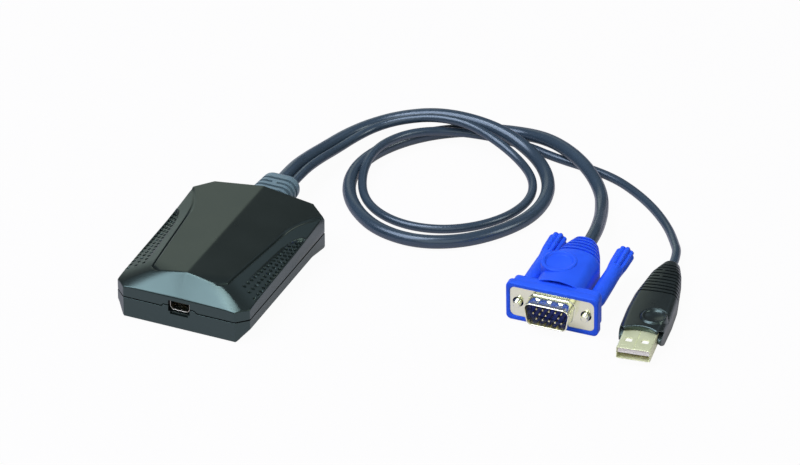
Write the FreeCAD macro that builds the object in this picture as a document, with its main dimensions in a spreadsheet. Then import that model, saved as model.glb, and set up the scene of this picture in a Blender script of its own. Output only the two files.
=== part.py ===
import FreeCAD, Part
import math
import os
import Sketcher

# Console adapter: a small two-shell case with a mini-B socket in front and a slotted strain
# relief behind, and two cords that lie in one loop and end in a DE-15 plug and a USB-A plug.
# Frame: origin under the middle of the case, +X across it, +Y from the socket to the cords, +Z up.

Vector = FreeCAD.Vector

# Driving dimensions in millimetres, angles in degrees.
SIZES = {
    # case outline and heights
    "case_width": 50.6,
    "case_length": 69.8,
    "corner_cut_across": 4.0,
    "corner_cut_along": 3.8,
    "seam_height": 7.8,
    "seam_gap": 0.35,
    "shoulder_height": 12.4,
    "rear_shoulder_height": 14.2,
    "ridge_height": 19.2,
    "eave_height": 15.6,
    "ceiling_height": 11.0,
    "ledge_height": 5.0,
    "case_wall": 1.8,
    "floor_thickness": 1.8,
    # roof panel outline
    "roof_setback": 7.0,
    "roof_front_half": 11.4,
    "grip_line_half": 14.4,
    "grip_line_setback": 9.5,
    "grip_sweep_length": 23.3,
    "grip_sweep_stop": 5.9,
    "grip_sweep_past": 0.3,
    # underside bevel along both long sides
    "bevel_height": 4.2,
    "bevel_run": 3.8,
    "bevel_fade_length": 14.5,
    "bevel_rear_height": 1.2,
    "lower_side_wall": 5.6,
    # case screws and the board
    "screw_side_inset": 8.1,
    "screw_end_inset": 7.9,
    "screw_shank_radius": 1.0,
    "screw_head_radius": 1.9,
    "screw_head_depth": 1.0,
    "screw_head_thickness": 0.6,
    "screw_reach": 9.0,
    "boss_radius": 2.2,
    "running_gap": 0.3,
    "board_side_gap": 11.3,
    "board_front_gap": 2.2,
    "board_rear_gap": 9.6,
    "board_bottom": 5.2,
    "board_thickness": 1.6,
    "post_side_inset": 4.0,
    "post_end_inset": 9.0,
    "post_radius": 2.0,
    # mini-B socket
    "socket_height": 8.75,
    "socket_setback": 0.9,
    "socket_half_width": 3.8,
    "socket_half_height": 1.9,
    "socket_foot_half": 2.9,
    "socket_foot_rise": 1.3,
    "socket_sheet": 0.4,
    "socket_depth": 7.0,
    "socket_clearance": 0.3,
    "lip_half_width": 6.8,
    "lip_rise": 0.85,
    "relief_half_width": 3.4,
    "relief_height": 1.0,
    "relief_depth": 0.7,
    "socket_tongue_width": 5.0,
    "socket_tongue_thickness": 0.9,
    "socket_tongue_lift": 0.1,
    "socket_contact_setback": 0.5,
    "socket_tongue_length": 4.6,
    "socket_contact_pitch": 0.8,
    "socket_contact_width": 0.4,
    "socket_contact_thickness": 0.15,
    # strain relief
    "relief_offset": -1.0,
    "relief_axis_height": 9.8,
    "relief_root_half": 8.2,
    "relief_root_rise": 4.8,
    "relief_end_half": 7.2,
    "relief_end_rise": 4.4,
    "relief_tip_half": 5.6,
    "relief_tip_rise": 3.2,
    "relief_length": 18.5,
    "relief_shoulder_length": 16.4,
    "relief_flat": 0.4,
    "relief_neck_half": 6.0,
    "relief_neck_rise": 2.8,
    "relief_flange_half": 7.4,
    "relief_flange_rise": 4.0,
    "relief_flange_thickness": 1.6,
    "slot_width": 0.9,
    "slot_pitch": 2.7,
    "slot_first": 3.0,
    "slot_depth": 1.5,
    "slot_bridge": 2.2,
    # cords
    "thick_cord_diameter": 4.9,
    "thin_cord_diameter": 3.2,
    "thick_cord_across": -1.2,
    "thin_cord_across": 3.2,
    "cord_lead": 10.0,
    "plug_lead": 9.0,
    # video plug, in its own frame: x across, y to the cord, z up, zero at the plate's front
    "video_x": 117.3,
    "video_y": 17.9,
    "video_yaw": 2.0,
    "video_pitch": 3.0,
    "bezel_width": 33.8,
    "bezel_height": 15.4,
    "bezel_radius": 1.8,
    "bezel_proud": 0.5,
    "bezel_depth": 2.6,
    "flange_inset": 1.0,
    "flange_depth": 6.6,
    "video_body_half": 8.6,
    "video_body_rise": 7.2,
    "video_body_end": 24.0,
    "video_waist_end": 31.0,
    "video_waist_half": 7.2,
    "video_waist_rise": 6.1,
    "video_tail_end": 38.0,
    "video_tail_half": 4.9,
    "video_tail_rise": 4.6,
    "video_tail_lean": 1.7,
    "video_body_radius": 3.6,
    "video_groove_width": 0.6,
    "video_groove_depth": 0.7,
    "video_groove_pitch": 2.4,
    "video_groove_margin": 2.0,
    "video_boss_y": 16.8,
    "video_boss_shift": 3.6,
    "video_boss_radius": 6.4,
    "video_boss_top": 8.6,
    "video_recess_radius": 4.9,
    "video_recess_depth": 0.7,
    "plate_width": 30.8,
    "plate_height": 12.0,
    "plate_radius": 2.0,
    "plate_thickness": 0.8,
    "fit_gap": 0.1,
    "cut_over": 1.0,
    "d_top_half": 8.75,
    "d_foot_half": 7.2,
    "d_half_height": 4.5,
    "d_corner_radius": 2.3,
    "d_projection": 5.9,
    "d_sheet": 0.45,
    "insulator_face": 0.8,
    "insulator_back": 5.0,
    "pin_back_gap": 1.5,
    "pin_pitch": 2.29,
    "pin_row_pitch": 1.98,
    "pin_radius": 0.4,
    "pin_reach": 5.0,
    "jack_spacing": 24.99,
    "jack_radius": 1.4,
    "jack_hole_radius": 1.75,
    "jack_reach": 2.2,
    "knob_radius": 3.4,
    "knob_start": 7.1,
    "knob_end": 40.6,
    "knob_collar_radius": 3.1,
    "knob_collar_end": 30.5,
    "flute_count": 8,
    "flute_radius": 0.7,
    # serial plug, in its own frame: zero at the front of its metal shell
    "serial_x": 151.7,
    "serial_y": 7.2,
    "serial_yaw": 8.3,
    "serial_shell_width": 12.0,
    "serial_shell_height": 4.5,
    "serial_shell_radius": 0.5,
    "serial_shell_sheet": 0.3,
    "serial_shell_length": 18.7,
    "serial_window_width": 2.6,
    "serial_window_length": 2.4,
    "serial_window_across": 5.8,
    "serial_window_y": 5.6,
    "serial_tongue_height": 1.9,
    "serial_tongue_front": 0.5,
    "serial_contact_pitch": 2.25,
    "serial_contact_width": 1.0,
    "serial_contact_thickness": 0.2,
    "serial_contact_length": 8.0,
    "serial_contact_setback": 1.0,
    "serial_wing_front": 9.4,
    "serial_hood_front": 12.2,
    "serial_hood_front_half": 7.3,
    "serial_hood_rise": 4.2,
    "serial_hood_belly_y": 24.0,
    "serial_hood_belly_half": 8.1,
    "serial_hood_rib_y": 34.0,
    "serial_hood_rib_half": 7.7,
    "serial_hood_neck_y": 50.0,
    "serial_hood_neck_half": 5.4,
    "serial_hood_neck_rise": 3.7,
    "serial_hood_end": 58.5,
    "serial_hood_end_half": 2.9,
    "serial_hood_end_rise": 2.7,
    "serial_hood_radius": 2.4,
    "serial_rib_count": 10,
    "serial_rib_pitch": 2.1,
    "serial_rib_margin": 1.0,
    "serial_rib_width": 0.7,
    "serial_rib_depth": 0.45,
    "serial_boss_shift": 2.9,
    "serial_boss_y": 19.0,
    "serial_boss_radius": 4.7,
    "serial_boss_top": 4.5,
    "serial_recess_radius": 3.7,
    "serial_recess_depth": 0.7,
}

# Routes of the two cords from the strain relief to the plugs: hand-placed points on the surface
# that the case stands on, raised where one cord passes over another and at the two ends.
THICK_ROUTE = [
    (-1.9, 76.0, 7.6), (-0.9, 88.0, 5.2), (1.8, 100.8, 4.2), (7.2, 110.9, 4.5), (16.2, 118.4, 6.1),
    (29.0, 122.2, 8.4), (43.0, 123.0, 8.6), (56.5, 122.1, 6.8), (69.4, 117.3, 3.6), (78.9, 107.3, 2.45),
    (84.5, 94.0, 2.45), (84.5, 79.0, 2.45), (78.2, 64.8, 2.45), (67.6, 53.0, 2.45), (53.4, 46.7, 2.45),
    (38.2, 48.6, 2.45), (26.1, 56.8, 2.45), (17.2, 68.4, 2.45), (13.3, 82.2, 2.45), (14.9, 96.4, 2.45),
    (21.6, 110.0, 2.45), (31.8, 120.6, 2.45), (44.5, 127.6, 2.45), (58.0, 130.4, 2.8), (71.0, 126.6, 5.4),
    (83.3, 119.4, 6.4), (94.0, 110.8, 5.8), (102.2, 101.0, 4.2), (107.1, 89.2, 4.9), (110.9, 77.3, 7.6),
]
THIN_ROUTE = [
    (2.7, 75.6, 8.0), (3.8, 88.0, 5.6), (6.5, 100.0, 5.2), (11.0, 108.6, 6.0), (18.4, 114.1, 7.7),
    (30.0, 117.7, 9.8), (43.0, 118.5, 9.6), (55.2, 117.0, 5.8), (66.6, 112.0, 2.6), (75.0, 103.4, 1.6),
    (79.0, 91.3, 1.6), (76.8, 78.3, 1.6), (69.3, 66.8, 1.6), (58.2, 58.9, 1.6), (44.8, 56.6, 1.6),
    (32.2, 60.5, 1.6), (22.7, 69.1, 1.9), (17.9, 80.2, 4.7), (16.8, 93.0, 6.3), (21.0, 105.2, 6.3),
    (29.0, 114.1, 5.7), (39.8, 120.6, 4.0), (51.8, 124.8, 2.2), (64.0, 124.6, 1.6), (76.0, 121.2, 1.6),
    (89.0, 119.4, 1.6), (101.5, 116.4, 1.6), (112.7, 109.9, 1.6), (122.6, 102.0, 1.6), (131.2, 92.6, 1.6),
    (137.2, 83.0, 2.6),
]

# The video plug has fourteen of the fifteen pins: the middle row's fourth place is empty.
PINS_PER_ROW = 5
EMPTY_PIN = (0, 3)

SOCKET_CONTACTS = 5
SERIAL_CONTACTS = 4
RELIEF_SLOTS = 5
VIDEO_GROOVES = 5

# Chips, placed from the board's middle, and the two headers for the cords' wires, placed from its
# rear edge: width, length, height, x, y.
CHIPS = ((12.0, 12.0, 1.6, 0.0, 6.7), (8.0, 6.0, 1.2, -8.0, -10.3), (6.0, 5.0, 1.0, 8.5, -9.3))
HEADERS = ((11.0, 5.0, 3.5, -6.6, -4.3), (8.0, 5.0, 3.5, 7.6, -4.3))

BOARD_HALF = "(case_width / 2 - board_side_gap)"
BOARD_FRONT = "(0 - case_length / 2 + board_front_gap)"
BOARD_REAR = "(case_length / 2 - board_rear_gap)"
SCREW_X = "(case_width / 2 - screw_side_inset)"
SCREW_Y = "(case_length / 2 - screw_end_inset)"

SHEET_NAME = "Sizes"
PLANE_ROLES = {"XY": "XY_Plane", "XZ": "XZ_Plane", "YZ": "YZ_Plane"}
CUTTER_REACH = 200.0
ARC_SHARE = 0.45

doc = FreeCAD.newDocument("ConsoleAdapter")
sheet = doc.addObject("Spreadsheet::Sheet", SHEET_NAME)
for row, (alias, value) in enumerate(SIZES.items(), start=1):
    sheet.set(f"A{row}", alias)
    sheet.set(f"B{row}", str(value))
    sheet.setAlias(f"B{row}", alias)
doc.recompute()

nodes = []


def size(name):
    """Value of one driving dimension, read back from the sheet."""
    return float(sheet.get(name))


def ref(text):
    """Expression text in which every driving dimension points at the sheet."""
    words = []
    word = ""
    for letter in str(text) + " ":
        if letter.isalnum() or letter == "_":
            word += letter
            continue
        words.append(f"{SHEET_NAME}.{word}" if word in SIZES else word)
        words.append(letter)
        word = ""
    return "".join(words).strip()


def value_of(text):
    """Number that an expression gives now."""
    return float(sheet.evalExpression(ref(text)))


# Sketches and features

def new_body(label):
    """A body that is one sub-part of the object."""
    body = doc.addObject("PartDesign::Body", label)
    body.Label = label
    nodes.append(body)
    return body


def sketch_at(body, plane, offset="0"):
    """A sketch on one of the body's origin planes, moved along that plane's normal."""
    sketch = body.newObject("Sketcher::SketchObject", f"{body.Name}Sketch")
    origin_plane = [f for f in body.Origin.OriginFeatures if f.Role == PLANE_ROLES[plane]][0]
    sketch.AttachmentSupport = (origin_plane, [""])
    sketch.MapMode = "FlatFace"
    sketch.setExpression("AttachmentOffset.Base.z", ref(offset))
    return sketch


def bind(sketch, kind, *terms):
    """Add one constraint whose last term is an expression, and bind it to the sheet."""
    *places, text = terms
    index = sketch.addConstraint(Sketcher.Constraint(kind, *places, value_of(text)))
    sketch.setExpression(f"Constraints[{index}]", ref(text))


def polygon(sketch, corners):
    """A closed outline through corners given as pairs of expressions."""
    first = sketch.GeometryCount
    count = len(corners)
    points = [Vector(value_of(x), value_of(y), 0) for x, y in corners]
    for i in range(count):
        sketch.addGeometry(Part.LineSegment(points[i], points[(i + 1) % count]))
    for i, (x, y) in enumerate(corners):
        after = first + (i + 1) % count
        sketch.addConstraint(Sketcher.Constraint("Coincident", first + i, 2, after, 1))
        bind(sketch, "DistanceX", -1, 1, first + i, 1, x)
        bind(sketch, "DistanceY", -1, 1, first + i, 1, y)


def rounded_rect(sketch, half_width, half_height, radius, x="0", y="0"):
    """A rectangle with round corners, centred on x, y."""
    first = sketch.GeometryCount
    w, h, r = value_of(half_width), value_of(half_height), value_of(radius)
    cx, cy = value_of(x), value_of(y)
    quarters = ((1, 1), (-1, 1), (-1, -1), (1, -1))
    for i, (sx, sy) in enumerate(quarters):
        centre = Vector(cx + sx * (w - r), cy + sy * (h - r), 0)
        circle_line = Part.Circle(centre, Vector(0, 0, 1), r)
        sketch.addGeometry(Part.ArcOfCircle(circle_line, i * math.pi / 2, (i + 1) * math.pi / 2))
    for i in range(len(quarters)):
        start = sketch.Geometry[first + i].EndPoint
        end = sketch.Geometry[first + (i + 1) % 4].StartPoint
        sketch.addGeometry(Part.LineSegment(start, end))
    for i, (sx, sy) in enumerate(quarters):
        arc, line, after = first + i, first + 4 + i, first + (i + 1) % 4
        sketch.addConstraint(Sketcher.Constraint("Tangent", arc, 2, line, 1))
        sketch.addConstraint(Sketcher.Constraint("Tangent", line, 2, after, 1))
        bind(sketch, "Radius", arc, radius)
        bind(sketch, "DistanceX", -1, 1, arc, 3, f"({x}) + {sx} * (({half_width}) - ({radius}))")
        bind(sketch, "DistanceY", -1, 1, arc, 3, f"({y}) + {sy} * (({half_height}) - ({radius}))")


def rounded_polygon(sketch, corners, radius):
    """A closed outline with straight sides through corners, each corner rounded by one arc."""
    count = len(corners)
    r = value_of(radius)
    points = [Vector(value_of(x), value_of(y), 0) for x, y in corners]
    arcs = []
    for i, corner in enumerate(points):
        to_last = (points[i - 1] - corner).normalize()
        to_next = (points[(i + 1) % count] - corner).normalize()
        half_angle = math.acos(to_last.dot(to_next)) / 2
        setback = r / math.tan(half_angle)
        centre = corner + (to_last + to_next).normalize() * (r / math.sin(half_angle))
        start = corner + to_last * setback - centre
        sweep = math.pi - 2 * half_angle
        begin = math.atan2(start.y, start.x)
        arcs.append(Part.ArcOfCircle(Part.Circle(centre, Vector(0, 0, 1), r), begin, begin + sweep))
    first = sketch.GeometryCount
    for i in range(count):
        sketch.addGeometry(arcs[i])
        sketch.addGeometry(Part.LineSegment(arcs[i].EndPoint, arcs[(i + 1) % count].StartPoint))
    for point in points:
        sketch.addGeometry(Part.Point(point), True)
    for i, (x, y) in enumerate(corners):
        arc, line, after = first + 2 * i, first + 2 * i + 1, first + 2 * ((i + 1) % count)
        mark, next_mark = first + 2 * count + i, first + 2 * count + (i + 1) % count
        sketch.addConstraint(Sketcher.Constraint("Tangent", arc, 2, line, 1))
        sketch.addConstraint(Sketcher.Constraint("Tangent", line, 2, after, 1))
        sketch.addConstraint(Sketcher.Constraint("PointOnObject", mark, 1, line))
        sketch.addConstraint(Sketcher.Constraint("PointOnObject", next_mark, 1, line))
        bind(sketch, "Radius", arc, radius)
        bind(sketch, "DistanceX", -1, 1, mark, 1, x)
        bind(sketch, "DistanceY", -1, 1, mark, 1, y)


def circle(sketch, x, y, radius):
    """A full circle."""
    index = sketch.addGeometry(Part.Circle(Vector(value_of(x), value_of(y), 0), Vector(0, 0, 1),
                                           value_of(radius)))
    bind(sketch, "Radius", index, radius)
    bind(sketch, "DistanceX", -1, 1, index, 3, x)
    bind(sketch, "DistanceY", -1, 1, index, 3, y)


def extrude(body, kind, sketch, length, backwards=False):
    """A Pad or a Pocket of one sketch."""
    before = body.Shape.Volume if body.Shape.Solids else 0.0
    feature = body.newObject(f"PartDesign::{kind}", f"{body.Name}{kind}")
    feature.Profile = sketch
    feature.setExpression("Length", ref(length))
    feature.Reversed = backwards
    doc.recompute()
    change = body.Shape.Volume - before
    if change == 0 or (change > 0) != (kind == "Pad"):
        raise ValueError(f"{kind} on {body.Label} points away from the solid")
    return feature


def loft(body, kind, sketches):
    """An additive or subtractive loft with straight sides through sketches."""
    feature = body.newObject(f"PartDesign::{kind}", f"{body.Name}{kind}")
    feature.Profile = sketches[0]
    feature.Sections = sketches[1:]
    feature.Ruled = True
    doc.recompute()
    return feature


def mirror_across(body, features):
    """The same features again on the other side of the YZ plane."""
    mirrored = body.newObject("PartDesign::Mirrored", f"{body.Name}Mirrored")
    mirrored.Originals = features
    plane = [f for f in body.Origin.OriginFeatures if f.Role == PLANE_ROLES["YZ"]][0]
    mirrored.MirrorPlane = (plane, [""])
    body.Tip = mirrored
    doc.recompute()
    return mirrored


def runs_along_y(edge):
    """Whether an edge is straight and parallel to Y."""
    if not isinstance(edge.Curve, Part.Line):
        return False
    return abs(edge.tangentAt(edge.FirstParameter).y) > 0.999


def box(name, width, length, height, x, y, z, placement=None):
    """A box centred on x, y with its foot at z."""
    solid = doc.addObject("Part::Box", name)
    solid.setExpression("Length", ref(width))
    solid.setExpression("Width", ref(length))
    solid.setExpression("Height", ref(height))
    corner = Vector(value_of(f"({x}) - ({width}) / 2"), value_of(f"({y}) - ({length}) / 2"), value_of(z))
    local = FreeCAD.Placement(corner, FreeCAD.Rotation())
    solid.Placement = placement.multiply(local) if placement else local
    return solid


def cylinder(name, radius, length, x, y, z, axis, placement=None):
    """A cylinder from x, y, z along an axis."""
    solid = doc.addObject("Part::Cylinder", name)
    solid.setExpression("Radius", ref(radius))
    solid.setExpression("Height", ref(length))
    base = Vector(value_of(x), value_of(y), value_of(z))
    local = FreeCAD.Placement(base, FreeCAD.Rotation(Vector(0, 0, 1), axis))
    solid.Placement = placement.multiply(local) if placement else local
    return solid


def group(label, solids):
    """Like pieces that share one node."""
    compound = doc.addObject("Part::Compound", label)
    compound.Label = label
    compound.Links = solids
    nodes.append(compound)
    return compound


def fuse(label, base, tool):
    """Two primitives that are one piece."""
    joined = doc.addObject("Part::Fuse", label)
    joined.Label = label
    joined.Base = base
    joined.Tool = tool
    return joined


def shaped(label, shape, placement=None):
    """A sub-part whose shape is worked out by Part's own functions."""
    feature = doc.addObject("Part::Feature", label)
    feature.Label = label
    feature.Shape = shape
    if placement:
        feature.Placement = placement
    nodes.append(feature)
    return feature


# Case

def case_outline(inset):
    """Corners of the eight-sided case outline, moved inwards."""
    half_x = f"(case_width / 2 - ({inset}))"
    half_y = f"(case_length / 2 - ({inset}))"
    cut_x = f"({half_x} - corner_cut_across)"
    cut_y = f"({half_y} - corner_cut_along)"
    return [(half_x, f"0 - {cut_y}"), (half_x, cut_y), (cut_x, half_y), (f"0 - {cut_x}", half_y),
            (f"0 - {half_x}", cut_y), (f"0 - {half_x}", f"0 - {cut_y}"),
            (f"0 - {cut_x}", f"0 - {half_y}"), (cut_x, f"0 - {half_y}")]


def lip_outline(extra="0"):
    """The step in the seam over the socket, seen from the front."""
    foot = f"(lip_half_width + {extra})"
    crest = f"(lip_half_width - lip_rise + {extra})"
    top = f"(seam_height + lip_rise + {extra})"
    return [(f"0 - {foot}", "seam_height - case_wall"), (foot, "seam_height - case_wall"),
            (foot, "seam_height"), (crest, top), (f"0 - {crest}", top), (f"0 - {foot}", "seam_height")]


def relief_outline(sketch, extra="0"):
    """The opening in the rear wall for the strain relief's neck."""
    rise = f"(relief_neck_rise + {extra})"
    rounded_rect(sketch, f"(relief_neck_half + {extra})", rise, f"{rise} - relief_flat / 2",
                 "relief_offset", "relief_axis_height")


def make_lower_case():
    """Tray with a bevelled underside, a rim, board posts and counterbored screw holes."""
    body = new_body("lower_case")
    outline = sketch_at(body, "XY")
    polygon(outline, case_outline("0"))
    extrude(body, "Pad", outline, "seam_height")
    rim = sketch_at(body, "XY", "seam_height")
    polygon(rim, case_outline("case_wall / 2"))
    extrude(body, "Pad", rim, "seam_gap")
    lip = sketch_at(body, "XZ", "case_length / 2")
    polygon(lip, lip_outline())
    extrude(body, "Pad", lip, "case_wall", True)

    sections = []
    stations = (("0 - case_length / 2 - cut_over", "bevel_height", "bevel_run"),
                ("case_length / 2 - bevel_fade_length", "bevel_height", "bevel_run"),
                ("case_length / 2 + cut_over", "bevel_rear_height", "bevel_rear_height"))
    for station, rise, run in stations:
        section = sketch_at(body, "XZ", f"0 - ({station})")
        slope = f"({rise}) / ({run}) * cut_over"
        polygon(section, [(f"case_width / 2 - ({run}) - cut_over", f"0 - {slope}"),
                          ("case_width / 2 + cut_over", f"0 - {slope}"),
                          ("case_width / 2 + cut_over", f"{rise} + {slope}")])
        sections.append(section)
    bevel = loft(body, "SubtractiveLoft", sections)
    mirror_across(body, [bevel])

    hollow = sketch_at(body, "XY", "seam_height + lip_rise + cut_over")
    polygon(hollow, case_outline("case_wall"))
    extrude(body, "Pocket", hollow, "seam_height + lip_rise + cut_over - ledge_height")
    well = sketch_at(body, "XY", "seam_height")
    half_x = "(case_width / 2 - lower_side_wall)"
    half_y = "(case_length / 2 - case_wall - corner_cut_along)"
    polygon(well, [(half_x, f"0 - {half_y}"), (half_x, half_y), (f"0 - {half_x}", half_y),
                   (f"0 - {half_x}", f"0 - {half_y}")])
    extrude(body, "Pocket", well, "seam_height - floor_thickness")

    posts = sketch_at(body, "XY", "floor_thickness / 2")
    for sx in (1, -1):
        for y in (f"{BOARD_FRONT} + post_end_inset", f"{BOARD_REAR} - post_end_inset"):
            circle(posts, f"{sx} * ({BOARD_HALF} - post_side_inset)", y, "post_radius")
    extrude(body, "Pad", posts, "board_bottom - floor_thickness / 2")

    notch = sketch_at(body, "XZ", "case_length / 2 + cut_over")
    half = "(socket_half_width + socket_clearance)"
    low = "(socket_height - socket_half_height - socket_clearance)"
    polygon(notch, [(f"0 - {half}", low), (half, low), (half, "seam_height + lip_rise + cut_over"),
                    (f"0 - {half}", "seam_height + lip_rise + cut_over")])
    extrude(body, "Pocket", notch, "case_wall + 2 * cut_over")
    relief = sketch_at(body, "XZ", "case_length / 2")
    polygon(relief, [("0 - relief_half_width", f"{low} - relief_height"),
                     ("relief_half_width", f"{low} - relief_height"),
                     ("relief_half_width", f"{low} + fit_gap"),
                     ("0 - relief_half_width", f"{low} + fit_gap")])
    extrude(body, "Pocket", relief, "relief_depth")
    rear = sketch_at(body, "XZ", "0 - case_length / 2 + case_wall + cut_over")
    relief_outline(rear)
    extrude(body, "Pocket", rear, "case_wall + 2 * cut_over")

    shanks = sketch_at(body, "XY", "floor_thickness + cut_over")
    heads = sketch_at(body, "XY", "screw_head_depth")
    for sx in (1, -1):
        for sy in (1, -1):
            place = (f"{sx} * {SCREW_X}", f"{sy} * {SCREW_Y}")
            circle(shanks, *place, "screw_shank_radius + running_gap")
            circle(heads, *place, "screw_head_radius + running_gap")
    extrude(body, "Pocket", shanks, "floor_thickness + 2 * cut_over")
    extrude(body, "Pocket", heads, "screw_head_depth + cut_over")


def roof_height(x):
    """Height of the gabled roof at a distance from the ridge."""
    fall = (size("ridge_height") - size("eave_height")) / (size("case_width") / 2)
    return size("ridge_height") - fall * abs(x)


def prism(points, bottom, top):
    """An upright solid over a plan outline."""
    wire = Part.makePolygon([Vector(x, y, bottom) for x, y in points + points[:1]])
    return Part.Face(wire).extrude(Vector(0, 0, top - bottom))


def block_above(p, q, r):
    """A large block whose underside lies in the plane of three points."""
    normal = (q - p).cross(r - p)
    if normal.z < 0:
        normal = normal.negative()
    turn = FreeCAD.Rotation(Vector(0, 0, 1), normal)
    block = Part.makeBox(CUTTER_REACH, CUTTER_REACH, CUTTER_REACH)
    corner = p.sub(turn.multVec(Vector(CUTTER_REACH / 2, CUTTER_REACH / 2, 0)))
    block.Placement = FreeCAD.Placement(corner, turn)
    return block


def plan_points(corners):
    """Numbers of an outline that is written as expressions."""
    return [(value_of(x), value_of(y)) for x, y in corners]


def grip_cutter(side):
    """What the sloping grip panel takes off one side, as far as the sweep to the rear corner."""
    half_x = size("case_width") / 2
    half_y = size("case_length") / 2
    front_corner = Vector(half_x, -half_y + size("corner_cut_along"), size("shoulder_height"))
    rear_corner = Vector(half_x, half_y - size("corner_cut_along"), size("rear_shoulder_height"))
    line_y = -half_y + size("grip_line_setback")
    line_front = Vector(size("grip_line_half"), line_y, roof_height(size("grip_line_half")))
    normal = (rear_corner - front_corner).cross(line_front - front_corner)

    def panel_height(x, y):
        offset = normal.x * (x - front_corner.x) + normal.y * (y - front_corner.y)
        return front_corner.z - offset / normal.z

    def line_x(y):
        fall = (size("ridge_height") - size("eave_height")) / half_x
        slope = panel_height(1, y) - panel_height(0, y)
        return (size("ridge_height") - panel_height(0, y)) / (slope + fall)

    reach = CUTTER_REACH / 4
    start = Vector(line_x(-half_y - reach), -half_y - reach, 0)
    bend = Vector(line_x(half_y - size("grip_sweep_length")), half_y - size("grip_sweep_length"), 0)
    end = Vector(half_x + size("grip_sweep_past"), half_y - size("grip_sweep_stop"), 0)
    tangent = (bend - start).normalize()
    chord = end - bend
    lean = math.acos(tangent.dot(chord) / chord.Length)
    across = Vector(-chord.y, chord.x, 0).normalize()
    middle = bend + chord * 0.5 + across * (chord.Length / 2 * math.tan(lean / 2))
    far = Vector(half_x + reach, end.y, 0)
    near = Vector(half_x + reach, start.y, 0)
    edges = [Part.LineSegment(start, bend).toShape(), Part.Arc(bend, middle, end).toShape(),
             Part.LineSegment(end, far).toShape(), Part.LineSegment(far, near).toShape(),
             Part.LineSegment(near, start).toShape()]
    plan = Part.Face(Part.Wire(edges)).extrude(Vector(0, 0, CUTTER_REACH))
    cutter = plan.common(block_above(front_corner, rear_corner, line_front))
    return cutter if side > 0 else cutter.mirror(Vector(0, 0, 0), Vector(1, 0, 0))


def front_cutter():
    """What the sloping front takes off: straight lines from the shoulder to the gabled roof edge."""
    half_y = size("case_length") / 2
    over = size("cut_over")
    reach = size("case_width") / 2 + over
    sections = []
    for x in (-reach, 0.0, reach):
        rise = roof_height(x) - size("shoulder_height")
        slope = rise / size("roof_setback")
        foot = Vector(x, -half_y - over, size("shoulder_height") - slope * over)
        edge = Vector(x, -half_y + size("roof_setback"), roof_height(x))
        top = size("ridge_height") + over
        corners = [foot, edge, Vector(x, edge.y, top), Vector(x, foot.y, top)]
        sections.append(Part.makePolygon(corners + corners[:1]))
    return Part.makeLoft(sections, True, True)


def corner_cutter(side):
    """What the small corner facet between the front and a grip panel takes off."""
    half_x = size("case_width") / 2
    half_y = size("case_length") / 2
    middle_x = (size("roof_front_half") + size("grip_line_half")) / 2
    middle_y = -half_y + (size("roof_setback") + size("grip_line_setback")) / 2
    p = Vector(side * (half_x - size("corner_cut_across")), -half_y, size("shoulder_height"))
    q = Vector(side * half_x, -half_y + size("corner_cut_along"), size("shoulder_height"))
    return block_above(p, q, Vector(side * middle_x, middle_y, roof_height(middle_x)))


def make_upper_cover():
    """Gabled cover with a sloping front, corner facets, grip panels, bosses and a hollow inside."""
    bottom = size("seam_height") + size("seam_gap")
    half_x = size("case_width") / 2
    half_y = size("case_length") / 2
    over = size("cut_over")
    wall = size("case_wall")
    cover = prism(plan_points(case_outline("0")), bottom, size("ridge_height"))
    for side in (1, -1):
        ridge = Vector(0, 0, size("ridge_height"))
        eave = Vector(side * half_x, 0, size("eave_height"))
        cover = cover.cut(block_above(ridge, ridge + Vector(0, 1, 0), eave))
    cover = cover.cut(front_cutter())
    for side in (1, -1):
        cover = cover.cut(corner_cutter(side))
        cover = cover.cut(grip_cutter(side))

    ceiling = size("ceiling_height")
    hollow = prism(plan_points(case_outline("case_wall")), bottom - over, ceiling)
    loft_half = size("roof_front_half") - wall / 2
    loft_front = -half_y + size("roof_setback") + wall
    loft_rear = half_y - wall
    loft_points = [(loft_half, loft_front), (loft_half, loft_rear), (-loft_half, loft_rear),
                   (-loft_half, loft_front)]
    hollow = hollow.fuse(prism(loft_points, ceiling - over, roof_height(loft_half) - wall))
    cover = cover.cut(hollow)

    boss_foot = size("floor_thickness") + size("running_gap")
    for sx in (1, -1):
        for sy in (1, -1):
            place = Vector(sx * value_of(SCREW_X), sy * value_of(SCREW_Y), boss_foot)
            boss = Part.makeCylinder(size("boss_radius"), ceiling + wall / 2 - boss_foot, place)
            cover = cover.fuse(boss)
            pilot_depth = size("screw_reach") + size("running_gap")
            pilot = Part.makeCylinder(size("screw_shank_radius"), pilot_depth - boss_foot, place)
            cover = cover.cut(pilot)

    step = [Vector(x, -half_y - over, z) for x, z in plan_points(lip_outline("seam_gap"))]
    cover = cover.cut(Part.Face(Part.makePolygon(step + step[:1])).extrude(Vector(0, wall + 2 * over, 0)))
    gap = size("socket_clearance")
    socket_width = 2 * (size("socket_half_width") + gap)
    socket_top = size("socket_height") + size("socket_half_height") + gap
    opening = Part.makeBox(socket_width, wall + 2 * over, socket_top - bottom + over,
                           Vector(-socket_width / 2, -half_y - over, bottom - over))
    cover = cover.cut(opening)
    neck_half = size("relief_neck_half")
    neck_rise = size("relief_neck_rise")
    neck = Part.makeBox(2 * neck_half, wall + 2 * over, 2 * neck_rise,
                        Vector(size("relief_offset") - neck_half, half_y - wall - over,
                               size("relief_axis_height") - neck_rise))
    upright = [edge for edge in neck.Edges if runs_along_y(edge)]
    cover = cover.cut(neck.makeFillet(neck_rise - size("relief_flat") / 2, upright))
    shaped("upper_cover", cover.removeSplitter())


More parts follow.
